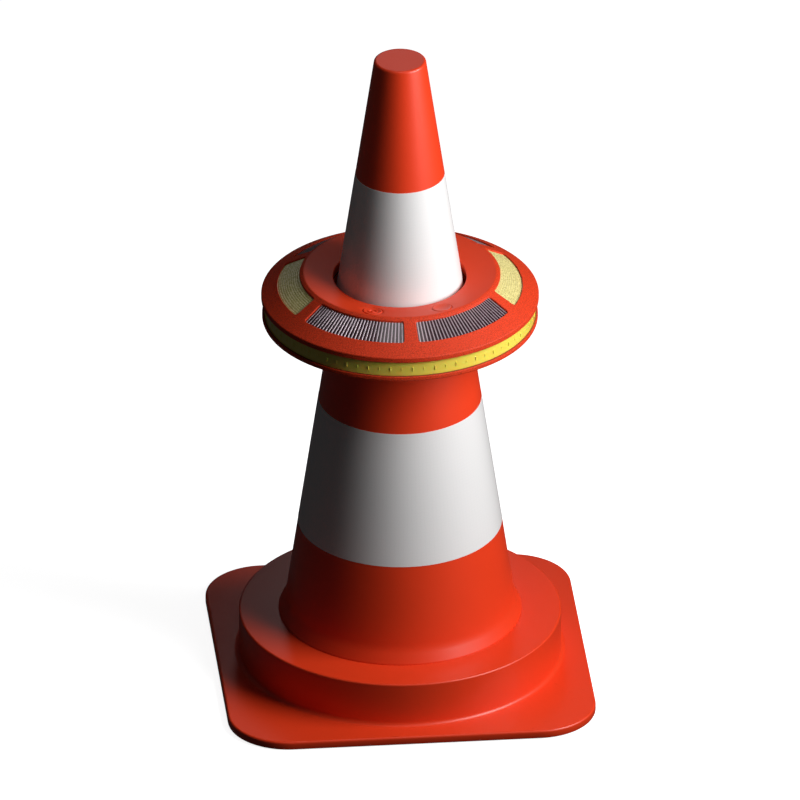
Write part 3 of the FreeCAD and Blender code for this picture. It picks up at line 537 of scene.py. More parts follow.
def quarter(first, steps):
    """Fractions (1 - sine, 1 - cosine) through a quarter turn."""
    for step in range(first, steps + 1):
        angle = math.pi / 2 * step / steps
        yield 1 - math.sin(angle), 1 - math.cos(angle)


def unwrap(work):
    """Chart a turned surface by arc length round it and height up it, in metres."""
    layer = work.loops.layers.uv.new("chart")
    for face in work.faces:
        centre, _ = polar(face.calc_center_median())
        for corner in face.loops:
            azimuth, radius = polar(corner.vert.co)
            azimuth += 360 * round((centre - azimuth) / 360)
            corner[layer].uv = (math.radians(azimuth) * 0.085, corner.vert.co.z)


def new_object(name, data, material):
    thing = bpy.data.objects.new(name, data)
    bpy.context.scene.collection.objects.link(thing)
    data.materials.clear()
    data.materials.append(material)
    return thing


def settle(thing, body, slot, *nodes):
    """Hand a finished piece to its body and hide the CAD nodes it stands for. The slot is not used."""
    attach(thing, body)
    if nodes:
        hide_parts(*nodes)


def repeat_tree():
    """Geometry Nodes that repeat a piece round the Z axis."""
    if "repeat_round_axis" in bpy.data.node_groups:
        return bpy.data.node_groups["repeat_round_axis"]
    tree = bpy.data.node_groups.new("repeat_round_axis", "GeometryNodeTree")
    for name, kind in (("Piece", "Object"), ("Copies", "Int"), ("First", "Float"),
                       ("Step", "Float"), ("Finish", "Material")):
        tree.interface.new_socket(name, in_out="INPUT", socket_type="NodeSocket" + kind)
    tree.interface.new_socket("Geometry", in_out="OUTPUT", socket_type="NodeSocketGeometry")
    inputs, outputs, points, index, angle, turn, piece, place, real, paint = (
        tree.nodes.new(kind) for kind in (
            "NodeGroupInput", "NodeGroupOutput", "GeometryNodePoints", "GeometryNodeInputIndex",
            "ShaderNodeMath", "FunctionNodeAxisAngleToRotation", "GeometryNodeObjectInfo",
            "GeometryNodeInstanceOnPoints", "GeometryNodeRealizeInstances",
            "GeometryNodeSetMaterial"))
    angle.operation = "MULTIPLY_ADD"
    for source, target in (
            (inputs.outputs["Piece"], piece.inputs["Object"]),
            (inputs.outputs["Copies"], points.inputs["Count"]),
            (index.outputs[0], angle.inputs[0]),
            (inputs.outputs["Step"], angle.inputs[1]),
            (inputs.outputs["First"], angle.inputs[2]),
            (angle.outputs[0], turn.inputs["Angle"]),
            (points.outputs[0], place.inputs["Points"]),
            (piece.outputs["Geometry"], place.inputs["Instance"]),
            (turn.outputs[0], place.inputs["Rotation"]),
            (place.outputs[0], real.inputs[0]),
            (real.outputs[0], paint.inputs["Geometry"]),
            (inputs.outputs["Finish"], paint.inputs["Material"]),
            (paint.outputs[0], outputs.inputs[0])):
        tree.links.new(source, target)
    return tree


def repeat_round(name, data, copies, first, step, material):
    """Repeat a mesh round the axis; first and step are azimuths in degrees."""
    seed = bpy.data.objects.new(name + "_seed", data)
    host = bpy.data.objects.new(name + "_host", bpy.data.meshes.new(name + "_host"))
    for thing in (seed, host):
        bpy.context.scene.collection.objects.link(thing)
    modifier = host.modifiers.new("repeat", "NODES")
    modifier.node_group = repeat_tree()
    settings = {"Piece": seed, "Copies": copies, "First": math.radians(first),
                "Step": math.radians(step), "Finish": material}
    for item in modifier.node_group.interface.items_tree:
        if item.in_out == "INPUT":
            modifier[item.identifier] = settings[item.name]
    bpy.context.view_layer.update()
    graph = bpy.context.evaluated_depsgraph_get()
    made = bpy.data.meshes.new_from_object(host.evaluated_get(graph))
    made.name = name
    host.modifiers.remove(modifier)
    for thing in (seed, host):
        bpy.data.objects.remove(thing)
    return new_object(name, made, material)


# ---- Shared lines of the object ---------------------------------------------------------------

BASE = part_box("base_moulding")
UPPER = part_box("upper_sleeve")
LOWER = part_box("lower_sleeve")
TAPER = (LOWER[1].x - UPPER[1].x) / (UPPER[0].z - LOWER[0].z)
SLEEVE_PROUD = 0.2 * MM


def cone_radius(height):
    """Radius of the bare cone at a height."""
    return UPPER[1].x - SLEEVE_PROUD + TAPER * (UPPER[0].z - height)


def bore_radius(height):
    return cone_radius(height) + lamp_sizes().bore_gap


def dish_slope():
    lamp = lamp_sizes()
    return ((lamp.crease_height - lamp.mouth_height)
            / (lamp.crease_radius - bore_radius(lamp.mouth_height)))


def roof_slope():
    lamp = lamp_sizes()
    return (lamp.crease_height - lamp.rim_top) / (lamp.rim_radius - lamp.crease_radius)


def dish_height(radius):
    """Height of the lamp's inner slope at a radius."""
    lamp = lamp_sizes()
    return lamp.crease_height + dish_slope() * (radius - lamp.crease_radius)


def roof_height(radius):
    """Height of the lamp's outer slope at a radius."""
    lamp = lamp_sizes()
    return lamp.crease_height - roof_slope() * (radius - lamp.crease_radius)


def dish_depth():
    return lamp_sizes().shell * math.hypot(1, dish_slope())


def roof_depth():
    return lamp_sizes().shell * math.hypot(1, roof_slope())


def window_outline(centre):
    """Outline of one window: the nearest edge point to a place on the patch round it."""
    lamp = lamp_sizes()

    def outline(azimuth, radius, grow):
        corner = lamp.window_corner
        row = min(max(radius, lamp.window_inner + corner), lamp.window_outer - corner)
        reach = lamp.window_half - math.degrees(corner / row)
        off = min(max(azimuth - centre, -reach), reach)
        side = math.radians(azimuth - centre - off) * row
        rise = radius - row
        size = math.hypot(side, rise)
        scale = (corner + grow) / size
        return centre + off + math.degrees(side * scale / row), row + rise * scale

    return outline


def round_outline(centre, circle, radius):
    """Outline of a round hole."""
    heart = spot(circle, centre, 0)

    def outline(azimuth, distance, grow):
        ray = (spot(distance, azimuth, 0) - heart).normalized()
        turned, reach = polar(heart + ray * (radius + grow))
        return turned + 360 * round((azimuth - turned) / 360), reach

    return outline


def edge_levels(edge, steps=4):
    """Levels that roll over a rounded edge into a hole's wall."""
    return [(1, edge * 1.6, 0), (1, edge, 0),
            *((1, edge * grow, edge * drop) for grow, drop in quarter(1, steps))]


# ---- Cone and base ----------------------------------------------------------------------------

def make_cone():
    cone = cone_sizes()
    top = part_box("cone_shell")[1].z
    plinth = BASE[1].z
    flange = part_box("cone_shell")[0].z
    flange_top = plinth - cone.plinth_roof
    flare_edge = plinth + cone.flare_edge
    flare = flare_edge + cone.flare_height
    path = [(0.0, top), (cone_radius(top), top, cone.top_round)]
    for sleeve in (UPPER, LOWER):
        for height, depth in ((sleeve[1].z, 0), (sleeve[1].z, cone.sleeve_recess),
                              (sleeve[0].z, cone.sleeve_recess), (sleeve[0].z, 0)):
            path.append((cone_radius(height) - depth, height))
    path += [(cone_radius(flare), flare, cone.flare_round),
             (cone.flare_radius, flare_edge, 0.5 * MM),
             (cone.flare_radius, plinth),
             (cone_radius(plinth), plinth),
             (cone_radius(flange_top), flange_top),
             (cone.flange_radius, flange_top),
             (cone.flange_radius, flange),
             (cone_radius(flange) - cone.wall, flange),
             (cone_radius(top - cone.wall) - cone.wall, top - cone.wall),
             (0.0, top - cone.wall)]
    skin = Skin()
    skin.turn(rounded(path))
    skin.settle("cone_moulding", cone_plastic(), "cone", "orange_pvc", "cone_shell")


def make_sleeve(name, box, film):
    """A wrapped sleeve with softened edges, and the overlap where its ends meet at the back."""
    cone = cone_sizes()
    low, high = box[0].z, box[1].z
    outer = SLEEVE_PROUD
    path = [(cone_radius(high) - cone.sleeve_recess, high), (cone_radius(high) + outer, high, outer),
            (cone_radius(low) + outer, low, outer), (cone_radius(low) - cone.sleeve_recess, low)]
    ring_skin(path).settle(name + "_wrap", film, "cone", "white_reflective", name, chart=True)

    seam = Skin()
    loops = []
    for height in (low + 0.3 * MM, high - 0.3 * MM):
        radius = cone_radius(height) + outer
        half = math.degrees(cone.seam_width / 2 / radius)
        under, over = radius - 0.1 * MM, radius + 0.12 * MM
        section = [(under, 180 - half), (over, 180 - half), (over, 180 - half / 3),
                   (over, 180 + half / 3), (over, 180 + half), (under, 180 + half), (under, 180)]
        loops.append(seam.loop([spot(away, azimuth, height) for away, azimuth in section]))
    seam.tube(loops)
    seam.settle(name + "_seam", film, "cone", "white_reflective", chart=True)



def square_radius(azimuth, inset):
    """Distance from the axis to the plate's rounded outline, moved inwards by an inset."""
    cone = cone_sizes()
    half = BASE[1].x
    across = abs(math.sin(math.radians(azimuth)))
    along = abs(math.cos(math.radians(azimuth)))
    side = (half - inset) / max(across, along)
    heart = half - cone.plate_corner
    if side * min(across, along) <= heart:
        return side
    reach = heart * (across + along)
    return reach + math.sqrt(reach ** 2 - 2 * heart ** 2 + (cone.plate_corner - inset) ** 2)


def make_base():
    cone = cone_sizes()
    low, top = BASE[0].z, BASE[1].z
    hollow_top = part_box("ballast_ring")[1].z + 0.5 * MM
    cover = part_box("base_cover")
    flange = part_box("cone_shell")[0].z
    cover_top = cover[1].z
    rebate = cover[1].x + 0.2 * MM
    inside = rebate - 37.0 * MM
    cavity_out, cavity_in, hole, mouth = 172.0 * MM, 146.0 * MM, 137.0 * MM, 131.0 * MM
    ledge = top - cone.plinth_roof
    section = [(rebate, low), (rebate, cover_top), (cavity_out, cover_top),
               (cavity_out, hollow_top), (cavity_in, hollow_top), (cavity_in, cover_top),
               (inside, cover_top), (inside, low), (hole, low), (hole, flange),
               (cone.flange_radius, flange), (cone.flange_radius, ledge), (mouth, ledge),
               (mouth, top),
               (cone.plinth_radius, top, cone.plinth_round),
               (cone.plinth_radius, cone.plate_top, cone.plinth_foot),
               (cone.plinth_radius + 1.5 * cone.plinth_foot, cone.plate_top)]
    skin = Skin()
    loops = [skin.loop([spot(radius, azimuth, height) for azimuth in ROUND])
             for radius, height in rounded(section)]
    inner = cone.plinth_radius + 1.5 * cone.plinth_foot
    ease = 2.0 * MM

    def plate_loop(inset, height, share=1.0):
        return skin.loop([spot(inner + (square_radius(azimuth, inset) - inner) * share,
                               azimuth, height) for azimuth in ROUND])

    edge = cone.plate_round
    loops += [plate_loop(edge + ease, cone.plate_top, share) for share in (0.33, 0.67, 1.0)]
    loops.append(plate_loop(edge + 0.3 * MM, cone.plate_top))
    loops += [plate_loop(edge * inset, cone.plate_top - edge * drop) for inset, drop in quarter(0, 6)]
    loops += [plate_loop(inset, low + rise) for inset, rise in
              ((0, 1.0 * MM), (0.3 * MM, 0.3 * MM), (1.0 * MM, 0), (edge + ease, 0))]
    skin.join_all(loops + loops[:1])
    skin.settle("base_plate_and_plinth", cone_plastic(), "cone", "orange_pvc", "base_moulding")


def make_base_cover():
    """Flat underside cover and its screws."""
    low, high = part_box("base_cover")
    inner = high.x - 36.6 * MM
    skin = ring_skin([(inner, low.z, 0.4 * MM), (inner, high.z), (high.x, high.z),
                      (high.x, low.z, 0.4 * MM)])
    black = moulded_plastic("black_moulded_plastic", (0.030, 0.030, 0.031), 0.5, 1.1 * MM, 0.05 * MM)
    skin.settle("underside_cover", black, "cone", "black_plastic", "base_cover")
    screw_circle, screws = 142.5 * MM, 6
    head = screw_head(screw_circle, low.z, 2.6 * MM, 90.0)
    settle(repeat_round("underside_cover_screws", head, screws, 0, 360 / screws, plated_steel()),
           "cone", "steel", "base_cover_screws")


def make_feet():
    """Rubber feet with a ring of tread blocks each."""
    low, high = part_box("rubber_feet")
    radius = 15.0 * MM
    centre = math.hypot(high.x - radius, high.y - radius)
    ridge = [radius * share for share in (0.92, 0.78, 0.74, 0.52, 0.48, 0.26, 0.22)]
    tread = [0.0, 0.0, 0.8 * MM, 0.8 * MM, 0.0, 0.0, 0.8 * MM]
    skin = Skin()
    heart = spot(centre, 0, 0)

    def circle(size, height):
        return skin.loop([heart + Vector((size * math.cos(turn), size * math.sin(turn), height))
                          for turn in (math.tau * index / 48 for index in range(48))])

    loops = [circle(radius, high.z), circle(radius, low.z + 0.8 * MM),
             circle(radius * 0.98, low.z + 0.2 * MM)]
    loops += [circle(size, low.z + height) for size, height in zip(ridge, tread)]
    skin.tube(loops)
    settle(repeat_round("rubber_foot_pads", skin.mesh("foot"), 4, 45, 90, soft_rubber()),
           "cone", "black_rubber", "rubber_feet")


def screw_head(circle, height, radius, azimuth):
    """A countersunk screw seen from below, with a cross recess."""
    skin = Skin()
    heart = spot(circle, azimuth, height)
    around = [math.tau * index / 40 for index in range(40)]

    def ring(size, rise, cross=0.0):
        points = []
        for turn in around:
            arm = max(abs(math.cos(turn)), abs(math.sin(turn))) ** 8
            reach = size * (1 - cross + cross * arm)
            points.append(heart + Vector((reach * math.cos(turn), reach * math.sin(turn), rise)))
        return skin.loop(points)

    loops = [ring(radius * 0.35, 2.2 * MM), ring(radius * 0.98, 1.2 * MM), ring(radius, 0.5 * MM),
             ring(radius * 0.94, 0.22 * MM), ring(radius * 0.72, 0.1 * MM),
             ring(radius * 0.62, 0.1 * MM, 0.62), ring(radius * 0.50, 0.9 * MM, 0.62),
             ring(radius * 0.12, 1.2 * MM)]
    skin.join_all(loops)
    skin.cap(reversed(loops[0]))
    skin.cap(loops[-1])
    return skin.mesh("screw")


# ---- Lamp housing -----------------------------------------------------------------------------

def lens_groove(edge, depth):
    """Outline of the groove that holds an edge of the lens, from outside in to the ledge."""
    lamp = lamp_sizes()
    play = 0.3 * MM
    outside = lamp.lens_radius + play
    inside = lamp.lens_radius - lamp.lens_wall - play
    return [(outside, edge), (outside, edge + depth), (inside, edge + depth), (inside, edge),
            (lamp.lens_radius - 5.5 * MM, edge)]


def make_top_shell():
    lamp = lamp_sizes()
    skin = Skin()
    dish, roof = dish_depth(), roof_depth()
    mouth = bore_radius(lamp.mouth_height)
    skirt_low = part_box("bore_seal")[1].z
    skirt = bore_radius(skirt_low)
    crease_in = lamp.crease_radius - 1.25 * MM
    crease_out = lamp.crease_radius + 1.25 * MM
    rim_patch = lamp.window_outer + 4.5 * MM
    mouth_patch = mouth + 3.6 * MM
    under_mouth = mouth + 2.5 * MM
    under_crease = lamp.crease_radius - (roof - dish) / (dish_slope() + roof_slope())
    groove = lens_groove(lamp.rim_bottom, 2.0 * MM)
    ledge = groove[-1][0]

    skin.turn(rounded([(rim_patch, roof_height(rim_patch)),
                       (lamp.rim_radius, lamp.rim_top, 1.6 * MM),
                       (lamp.rim_radius, lamp.rim_bottom, 0.8 * MM), *groove,
                       (ledge, roof_height(ledge) - roof),
                       (rim_patch, roof_height(rim_patch) - roof)]))
    skin.turn(rounded([(crease_out, roof_height(crease_out)),
                       (lamp.crease_radius, lamp.crease_height, lamp.crease_round),
                       (crease_in, dish_height(crease_in))], steps=10))
    skin.turn([(crease_in, dish_height(crease_in) - dish),
               (under_crease, dish_height(under_crease) - dish),
               (crease_out, roof_height(crease_out) - roof)])
    skin.turn(rounded([(mouth_patch, dish_height(mouth_patch)),
                       (mouth, lamp.mouth_height, 1.4 * MM),
                       (skirt, skirt_low, 0.4 * MM), (skirt + 2.2 * MM, skirt_low, 0.4 * MM),
                       (under_mouth, dish_height(under_mouth) - dish),
                       (mouth_patch, dish_height(mouth_patch) - dish)]))

    span = 360 / lamp.windows
    rolled = edge_levels(lamp.window_edge)
    for index in range(lamp.windows):
        first, last = span * index, span * (index + 1)
        centre = (first + last) / 2
        levels = [(0, 0, 0), (0.5, lamp.window_edge, 0), *rolled, (1, 0, roof),
                  (0.5, 0, roof), (0, 0, roof)]
        skin.sector(first, last, crease_out, rim_patch, levels, window_outline(centre), roof_height)
        side = lamp.button_azimuth if index == 0 else 360 - lamp.button_azimuth
        if index in (0, lamp.windows - 1):
            hole = round_outline(side, lamp.button_circle, lamp.button_radius + lamp.button_gap)
            levels = [(0, 0, 0), (0.4, 0.3 * MM, 0), (0.8, 0.3 * MM, 0),
                      *edge_levels(0.3 * MM, 3)[1:], (1, 0, dish),
                      (0.6, 0, dish), (0, 0, dish)]
            skin.sector(first, last, mouth_patch, crease_in, levels, hole, dish_height)
        else:
            azimuths = [first + STEP * step for step in range(round(span / STEP) + 1)]
            rows = max(6, round((crease_in - mouth_patch) / (2.0 * MM)))
            radii = [mouth_patch + (crease_in - mouth_patch) * row / rows
                     for row in range(rows + 1)]
            for drop in (0, dish):
                loops = [skin.loop([spot(radius, azimuth, dish_height(radius) - drop)
                                    for azimuth in azimuths]) for radius in radii]
                skin.join_all(loops, closed=False)
    skin.settle("lamp_top_shell", shell_plastic(), "lamp", "orange_housing", "top_shell")


def make_bottom_shell():
    lamp = lamp_sizes()
    low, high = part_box("bottom_shell")
    floor = low.z + lamp.floor
    wall = 3.5 * MM
    seat_low, seat_high, seat_depth = 442.0 * MM, 446.0 * MM, 1.5 * MM
    groove = lens_groove(lamp.lip_top, -2.0 * MM)
    patch_in = lamp.screw_circle - 9.0 * MM
    patch_out = lamp.screw_circle + 9.0 * MM
    skin = Skin()
    skin.turn(rounded([(patch_out, low.z), (lamp.lip_radius, low.z, 1.8 * MM),
                       (lamp.lip_radius, lamp.lip_top, 0.8 * MM), *groove,
                       (groove[-1][0], floor), (bore_radius(floor) + wall, floor),
                       (bore_radius(high.z) + wall, high.z, 0.5 * MM),
                       (bore_radius(high.z), high.z, 0.5 * MM),
                       (bore_radius(seat_high), seat_high),
                       (bore_radius(seat_high) + seat_depth, seat_high),
                       (bore_radius(seat_low) + seat_depth, seat_low),
                       (bore_radius(seat_low), seat_low),
                       (bore_radius(low.z), low.z, 0.8 * MM), (patch_in, low.z)]))
    span = 360 / lamp.windows
    levels = [(0, 0, 0), (0.5, 0.3 * MM, 0), (1, 0.6 * MM, 0), (1, 0.3 * MM, 0),
              (1, 0.1 * MM, -0.1 * MM), (1, 0, -0.3 * MM), (1, 0, -1.9 * MM),
              (1, -1.0 * MM, -1.9 * MM), (1, -2.9 * MM, -1.9 * MM)]
    for index in range(lamp.windows):
        centre = span * index
        hole = round_outline(centre, lamp.screw_circle, lamp.screw_head)
        loops = skin.sector(centre - span / 2, centre + span / 2, patch_in, patch_out, levels, hole,
                            lambda radius: low.z)
        skin.cap(loops[-1])
    skin.settle("lamp_bottom_shell", shell_plastic(), "lamp", "orange_housing", "bottom_shell")
    head = screw_head(lamp.screw_circle, low.z + 0.4 * MM, 2.7 * MM, 0)
    settle(repeat_round("lamp_screws", head, lamp.windows, 0, span, plated_steel()),
           "lamp", "steel", "shell_screws")


def make_lens():
    """The yellow band, its seals and the short upright ribs moulded on it."""
    lamp = lamp_sizes()
    low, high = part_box("lens_ring")
    outer = lamp.lens_radius
    inner = outer - lamp.lens_wall
    clear = lens_plastic()
    band = ring_skin([(inner, low.z), (outer, low.z, 0.4 * MM), (outer, high.z, 0.4 * MM),
                      (inner, high.z)])
    band.settle("lens_band", clear, "lamp", "yellow_lens", "lens_ring")
    middle = (lamp.lip_top + lamp.rim_bottom) / 2 - 0.6 * MM
    half = lamp.lens_marks // 2
    span = 360 / half
    for name, first, width, tall, proud in (("lens_ribs", 0.0, 1.3 * MM, 4.6 * MM, 0.8 * MM),
                                            ("lens_small_ribs", span / 2, 1.0 * MM, 3.4 * MM,
                                             0.5 * MM)):
        rib = Skin()
        turn = math.degrees(width / 2 / outer)
        loops = []
        for share in (-1.0, -0.9, 0.9, 1.0):
            lift = proud if abs(share) < 1 else proud * 0.3
            section = [(outer - 0.3 * MM, -turn), (outer + lift * 0.4, -turn),
                       (outer + lift, -turn * 0.45), (outer + lift, turn * 0.45),
                       (outer + lift * 0.4, turn), (outer - 0.3 * MM, turn)]
            height = middle + share * tall / 2
            loops.append(rib.loop([spot(radius, azimuth, height) for radius, azimuth in section]))
        rib.tube(loops)
        settle(repeat_round(name, rib.mesh(name), half, first, span, clear), "lamp", "yellow_lens")

    rubber = soft_rubber()
    # Painted shade: the lens seals are rubber coloured orange-brown, standing in for the shade line
    # between the lens and the rim and lip.
    seal_shade_brown = moulded_plastic("lens_seal_rubber_painted_shade", (0.26, 0.07, 0.008), 0.7, 2.0 * MM, 0.02 * MM)
    for node in ("lower_lens_seal", "upper_lens_seal", "bore_seal"):
        wide, material = (1.0 * MM, seal_shade_brown) if "lens" in node else (2.0 * MM, rubber)
        low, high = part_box(node)
        inner = high.x - wide
        bead = ring_skin([(inner, low.z, 0.1 * MM), (high.x, low.z, 0.3 * MM),
                          (high.x, high.z, 0.3 * MM), (inner, high.z, 0.1 * MM)], steps=4)
        bead.settle(node + "_bead", material, "lamp", "black_rubber", node)


def slope_box(azimuth, half_width, inner, outer, low, high):
    """A thin bar lying on the roof's slope behind a window."""
    skin = Skin()
    loops = []
    for radius in (inner, outer):
        turn = math.degrees(half_width / radius)
        base = roof_height(radius) - roof_depth()
        section = [(-turn, low), (-turn * 0.7, high), (turn * 0.7, high), (turn, low)]
        loops.append(skin.loop([spot(radius, azimuth + off, base + rise) for off, rise in section]))
    skin.tube(loops)
    return skin


def make_solar_panels():
    """Dark cells behind four windows, each with printed contact lines."""
    lamp = lamp_sizes()
    cell = cell_glass()
    silver = contact_silver()
    pitch = 2 * lamp.window_half / lamp.fingers
    for node, centre in (("solar_panel_front_right", 30), ("solar_panel_front_left", -30),
                         ("solar_panel_rear_right", 150), ("solar_panel_rear_left", -150)):
        paint(node, cell)
        line = slope_box(0, lamp.finger_width / 2, lamp.window_inner - 1.5 * MM,
                         lamp.window_outer + 1.5 * MM, -0.1 * MM, 0.18 * MM)
        first = centre - lamp.window_half + pitch / 2
        lines = repeat_round(node.replace("panel", "contacts"), line.mesh("contact_line"),
                             lamp.fingers, first, pitch, silver)
        settle(lines, "lamp", "solar_cell")


def make_reflectors():
    """Yellow reflectors whose faces are rows of small prisms."""
    lamp = lamp_sizes()
    clear = reflector_plastic()
    rows = round((lamp.window_outer - lamp.window_inner + 3 * MM) / lamp.prism)
    middle = (lamp.window_inner + lamp.window_outer) / 2
    pitch = math.degrees(lamp.prism / middle)
    columns = int(2 * lamp.window_half / pitch) + 2
    for node, centre in (("reflector_right", 90), ("reflector_left", -90)):
        paint(node, clear)
        skin = Skin()
        for row in range(rows):
            near = lamp.window_inner - 1.5 * MM + row * lamp.prism
            far = near + lamp.prism
            base = skin.loop([spot(radius, off, roof_height(radius) - roof_depth() - 0.05 * MM)
                              for radius, off in ((near, -pitch / 2), (near, pitch / 2),
                                                  (far, pitch / 2), (far, -pitch / 2))])
            peak = (near + far) / 2
            tip = skin.loop([spot(peak, 0, roof_height(peak) - roof_depth() + 0.62 * MM)])[0]
            for index in range(4):
                skin.faces.append((base[index], base[(index + 1) % 4], tip))
            skin.cap(reversed(base))
        prisms = repeat_round(node + "_prisms", skin.mesh("prism", sharp=20), columns,
                              centre - pitch * (columns - 1) / 2, pitch, clear)
        settle(prisms, "lamp", "yellow_reflector")


def make_button(node, azimuth, marks):
    """A button: cap that follows the dish, hidden flange and stem. marks are raised rings."""
    lamp = lamp_sizes()
    low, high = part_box(node)
    flange_top, flange = 478.8 * MM, 1.5 * MM
    skin = Skin()
    heart = spot(lamp.button_circle, azimuth, 0)
    around = [math.tau * index / 72 for index in range(72)]

    def ring(size, height=None, lift=0.0):
        points = []
        for turn in around:
            place = heart + Vector((size * math.cos(turn), size * math.sin(turn), 0))
            place.z = height if height is not None else dish_height(polar(place)[1]) + lift
            points.append(place)
        return skin.loop(points)

    cap = lamp.button_radius - 0.3 * MM
    wide = lamp.button_radius + 1.7 * MM
    proud = 0.4 * MM
    loops = [ring(3.0 * MM, low.z + 0.3 * MM), ring(3.0 * MM, flange_top - flange),
             ring(wide, flange_top - flange), ring(wide + 0.1 * MM, flange_top - flange / 2),
             ring(wide, flange_top), ring(cap, flange_top), ring(cap, lift=proud - 1.1 * MM)]
    loops += [ring(cap - 1.1 * MM * back, lift=proud - 1.1 * MM * drop)
              for drop, back in quarter(1, 5)]
    brim = cap - 1.3 * MM

    def bowl(size):
        return proud - lamp.button_bowl * (1 - (size / brim) ** 2)

    for step in range(10):
        size = brim * (1 - step / 10)
        if size > marks[0][0] + 0.5 * MM:
            loops.append(ring(size, lift=bowl(size)))
    for size, lift in marks:
        loops.append(ring(size, lift=bowl(size) + lift))
    skin.join_all(loops)
    skin.cap(loops[-1])
    skin.cap(reversed(loops[0]))
    settle(new_object(node + "_cap", skin.mesh(node), shell_plastic()), node, "orange_housing", node)


def make_seat():
    """Rubber seat with grip ribs inside, a flange below and a bead that holds the lamp."""
    low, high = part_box("seat_ring")
    gap = 0.3 * MM
    flange = high.x
    flange_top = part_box("bottom_shell")[0].z - gap
    bead_low, bead_high, bead = 442.5 * MM, 445.5 * MM, 1.0 * MM
    path = [(cone_radius(low.z) + gap + 0.6 * MM, low.z), (flange, low.z, 0.8 * MM),
            (flange, flange_top, 0.8 * MM), (bore_radius(flange_top) - gap, flange_top),
            (bore_radius(bead_low) - gap, bead_low), (bore_radius(bead_low) + bead, bead_low, 0.4 * MM),
            (bore_radius(bead_high) + bead, bead_high, 0.4 * MM),
            (bore_radius(bead_high) - gap, bead_high),
            (bore_radius(high.z) - gap, high.z, 0.6 * MM)]
    ribs = 6
    rise = (high.z - low.z) / ribs
    for index in range(ribs):
        top = high.z - index * rise
        crest = cone_radius(top) + gap
        root = crest + 0.9 * MM
        path += [(root, top - 0.3 * MM), (root, top - rise * 0.45),
                 (crest, top - rise * 0.6, 0.3 * MM), (crest, top - rise * 0.9, 0.3 * MM)]
    ring_skin(path).settle("rubber_seat", soft_rubber(), "seat", "black_rubber", "seat_ring")


def paint(node, material):
    """Give a CAD node its finish."""
    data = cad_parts[node].data
    data.materials.clear()
    data.materials.append(material)


def make_insides():
    """Finishes for the pieces inside the lamp and base."""
    board = circuit_resist()
    black = moulded_plastic("black_cell_cradle", (0.028, 0.028, 0.030), 0.5, 1.0 * MM, 0.04 * MM)
    led = moulded_plastic("led_amber_epoxy", (0.90, 0.55, 0.08), 0.15, 4.0 * MM, 0.01 * MM, 0.6)
    wrap = moulded_plastic("cell_blue_wrap", (0.03, 0.10, 0.42), 0.3, 3.0 * MM, 0.03 * MM, 0.4)
    lead = moulded_plastic("lead_red_insulation", (0.42, 0.015, 0.012), 0.4, 1.5 * MM, 0.02 * MM)
    crumb = moulded_plastic("recycled_rubber", (0.040, 0.038, 0.036), 0.8, 3.0 * MM, 0.4 * MM)
    rubber = soft_rubber()
    finishes = {"control_board": board, "led_board": board, "leds": led, "tact_switches": black,
                "board_components": black, "button_boots": rubber, "ballast_ring": crumb}
    for side in ("left", "right"):
        finishes["battery_cell_" + side] = wrap
        finishes["battery_cradle_" + side] = black
        finishes["battery_lead_" + side] = lead
    for node, material in finishes.items():
        paint(node, material)


# ---- Stage ------------------------------------------------------------------------------------

def aim(thing, azimuth, elevation, distance, height):
    """Stand a camera or lamp at a distance from a height on the axis, and face it there."""
    away = spot(math.cos(math.radians(elevation)), azimuth, math.sin(math.radians(elevation)))
    thing.location = Vector((0, 0, height)) + away * distance
    thing.rotation_mode = "QUATERNION"
    thing.rotation_quaternion = away.to_track_quat("Z", "Y")
    bpy.context.scene.collection.objects.link(thing)


def softbox(name, azimuth, elevation, distance, size, power):
    """A softbox aimed at the middle of the object."""
    data = bpy.data.lights.new(name, "AREA")
    data.shape = "RECTANGLE"
    data.size, data.size_y = size
    data.energy = power
    object_middle = 0.36
    aim(bpy.data.objects.new(name, data), azimuth, elevation, distance, object_middle)


def make_stage():
    scene = bpy.context.scene
    azimuth, elevation, distance, height = -5.44, 28.56, 33.74, 0.3240
    camera = bpy.data.objects.new("camera", bpy.data.cameras.new("camera"))
    aim(camera, azimuth, elevation, distance, height)
    scene.camera = camera
    camera.data.lens = 1371.7
    camera.data.sensor_width = 36.0
    camera.data.clip_start, camera.data.clip_end = 1.0, 100.0

    scene.view_settings.view_transform = "Standard"
    world = bpy.data.worlds.new("studio")
    scene.world = world
    world.use_nodes = True
    nodes, links = world.node_tree.nodes, world.node_tree.links
    backdrop = nodes["Background"]
    fill = nodes.new("ShaderNodeBackground")
    for node, tone, strength in ((backdrop, (1.0, 1.0, 1.0, 1.0), 1.0),
                                 (fill, (0.93, 0.96, 1.0, 1.0), 0.02)):
        node.inputs["Color"].default_value = tone
        node.inputs["Strength"].default_value = strength
    path = nodes.new("ShaderNodeLightPath")
    blend = nodes.new("ShaderNodeMixShader")
    links.new(path.outputs["Is Camera Ray"], blend.inputs[0])
    links.new(fill.outputs[0], blend.inputs[1])
    links.new(backdrop.outputs[0], blend.inputs[2])
    links.new(blend.outputs[0], nodes["World Output"].inputs[0])

    softbox("key_softbox", azimuth + 67, 30, 1.22, (0.85, 0.85), 20.0)
    softbox("top_softbox", azimuth + 30, 85, 1.3, (0.4, 0.4), 1.0)
    softbox("back_softbox", azimuth + 181, 30, 1.38, (0.28, 1.0), 0.58)

    skin = Skin()
    skin.cap(skin.loop([spot(9.0, turn, 0.0) for turn in range(0, 360, 6)]))
    finish = Finish("pale_floor", Specular_IOR_Level=0.1, Emission_Strength=0.9,
                    Emission_Color=(1.0, 1.0, 1.0, 1.0))
    tone = finish.mix(finish.noise(3.0, 2.0), (0.93, 0.93, 0.93), (0.95, 0.95, 0.95))
    floor = new_object("studio_floor", skin.mesh("studio_floor"),
                       finish.put(Base_Color=tone, Roughness=finish.noise(8.0) * 0.1 + 0.8))
    floor.visible_diffuse = False
    floor.visible_glossy = False


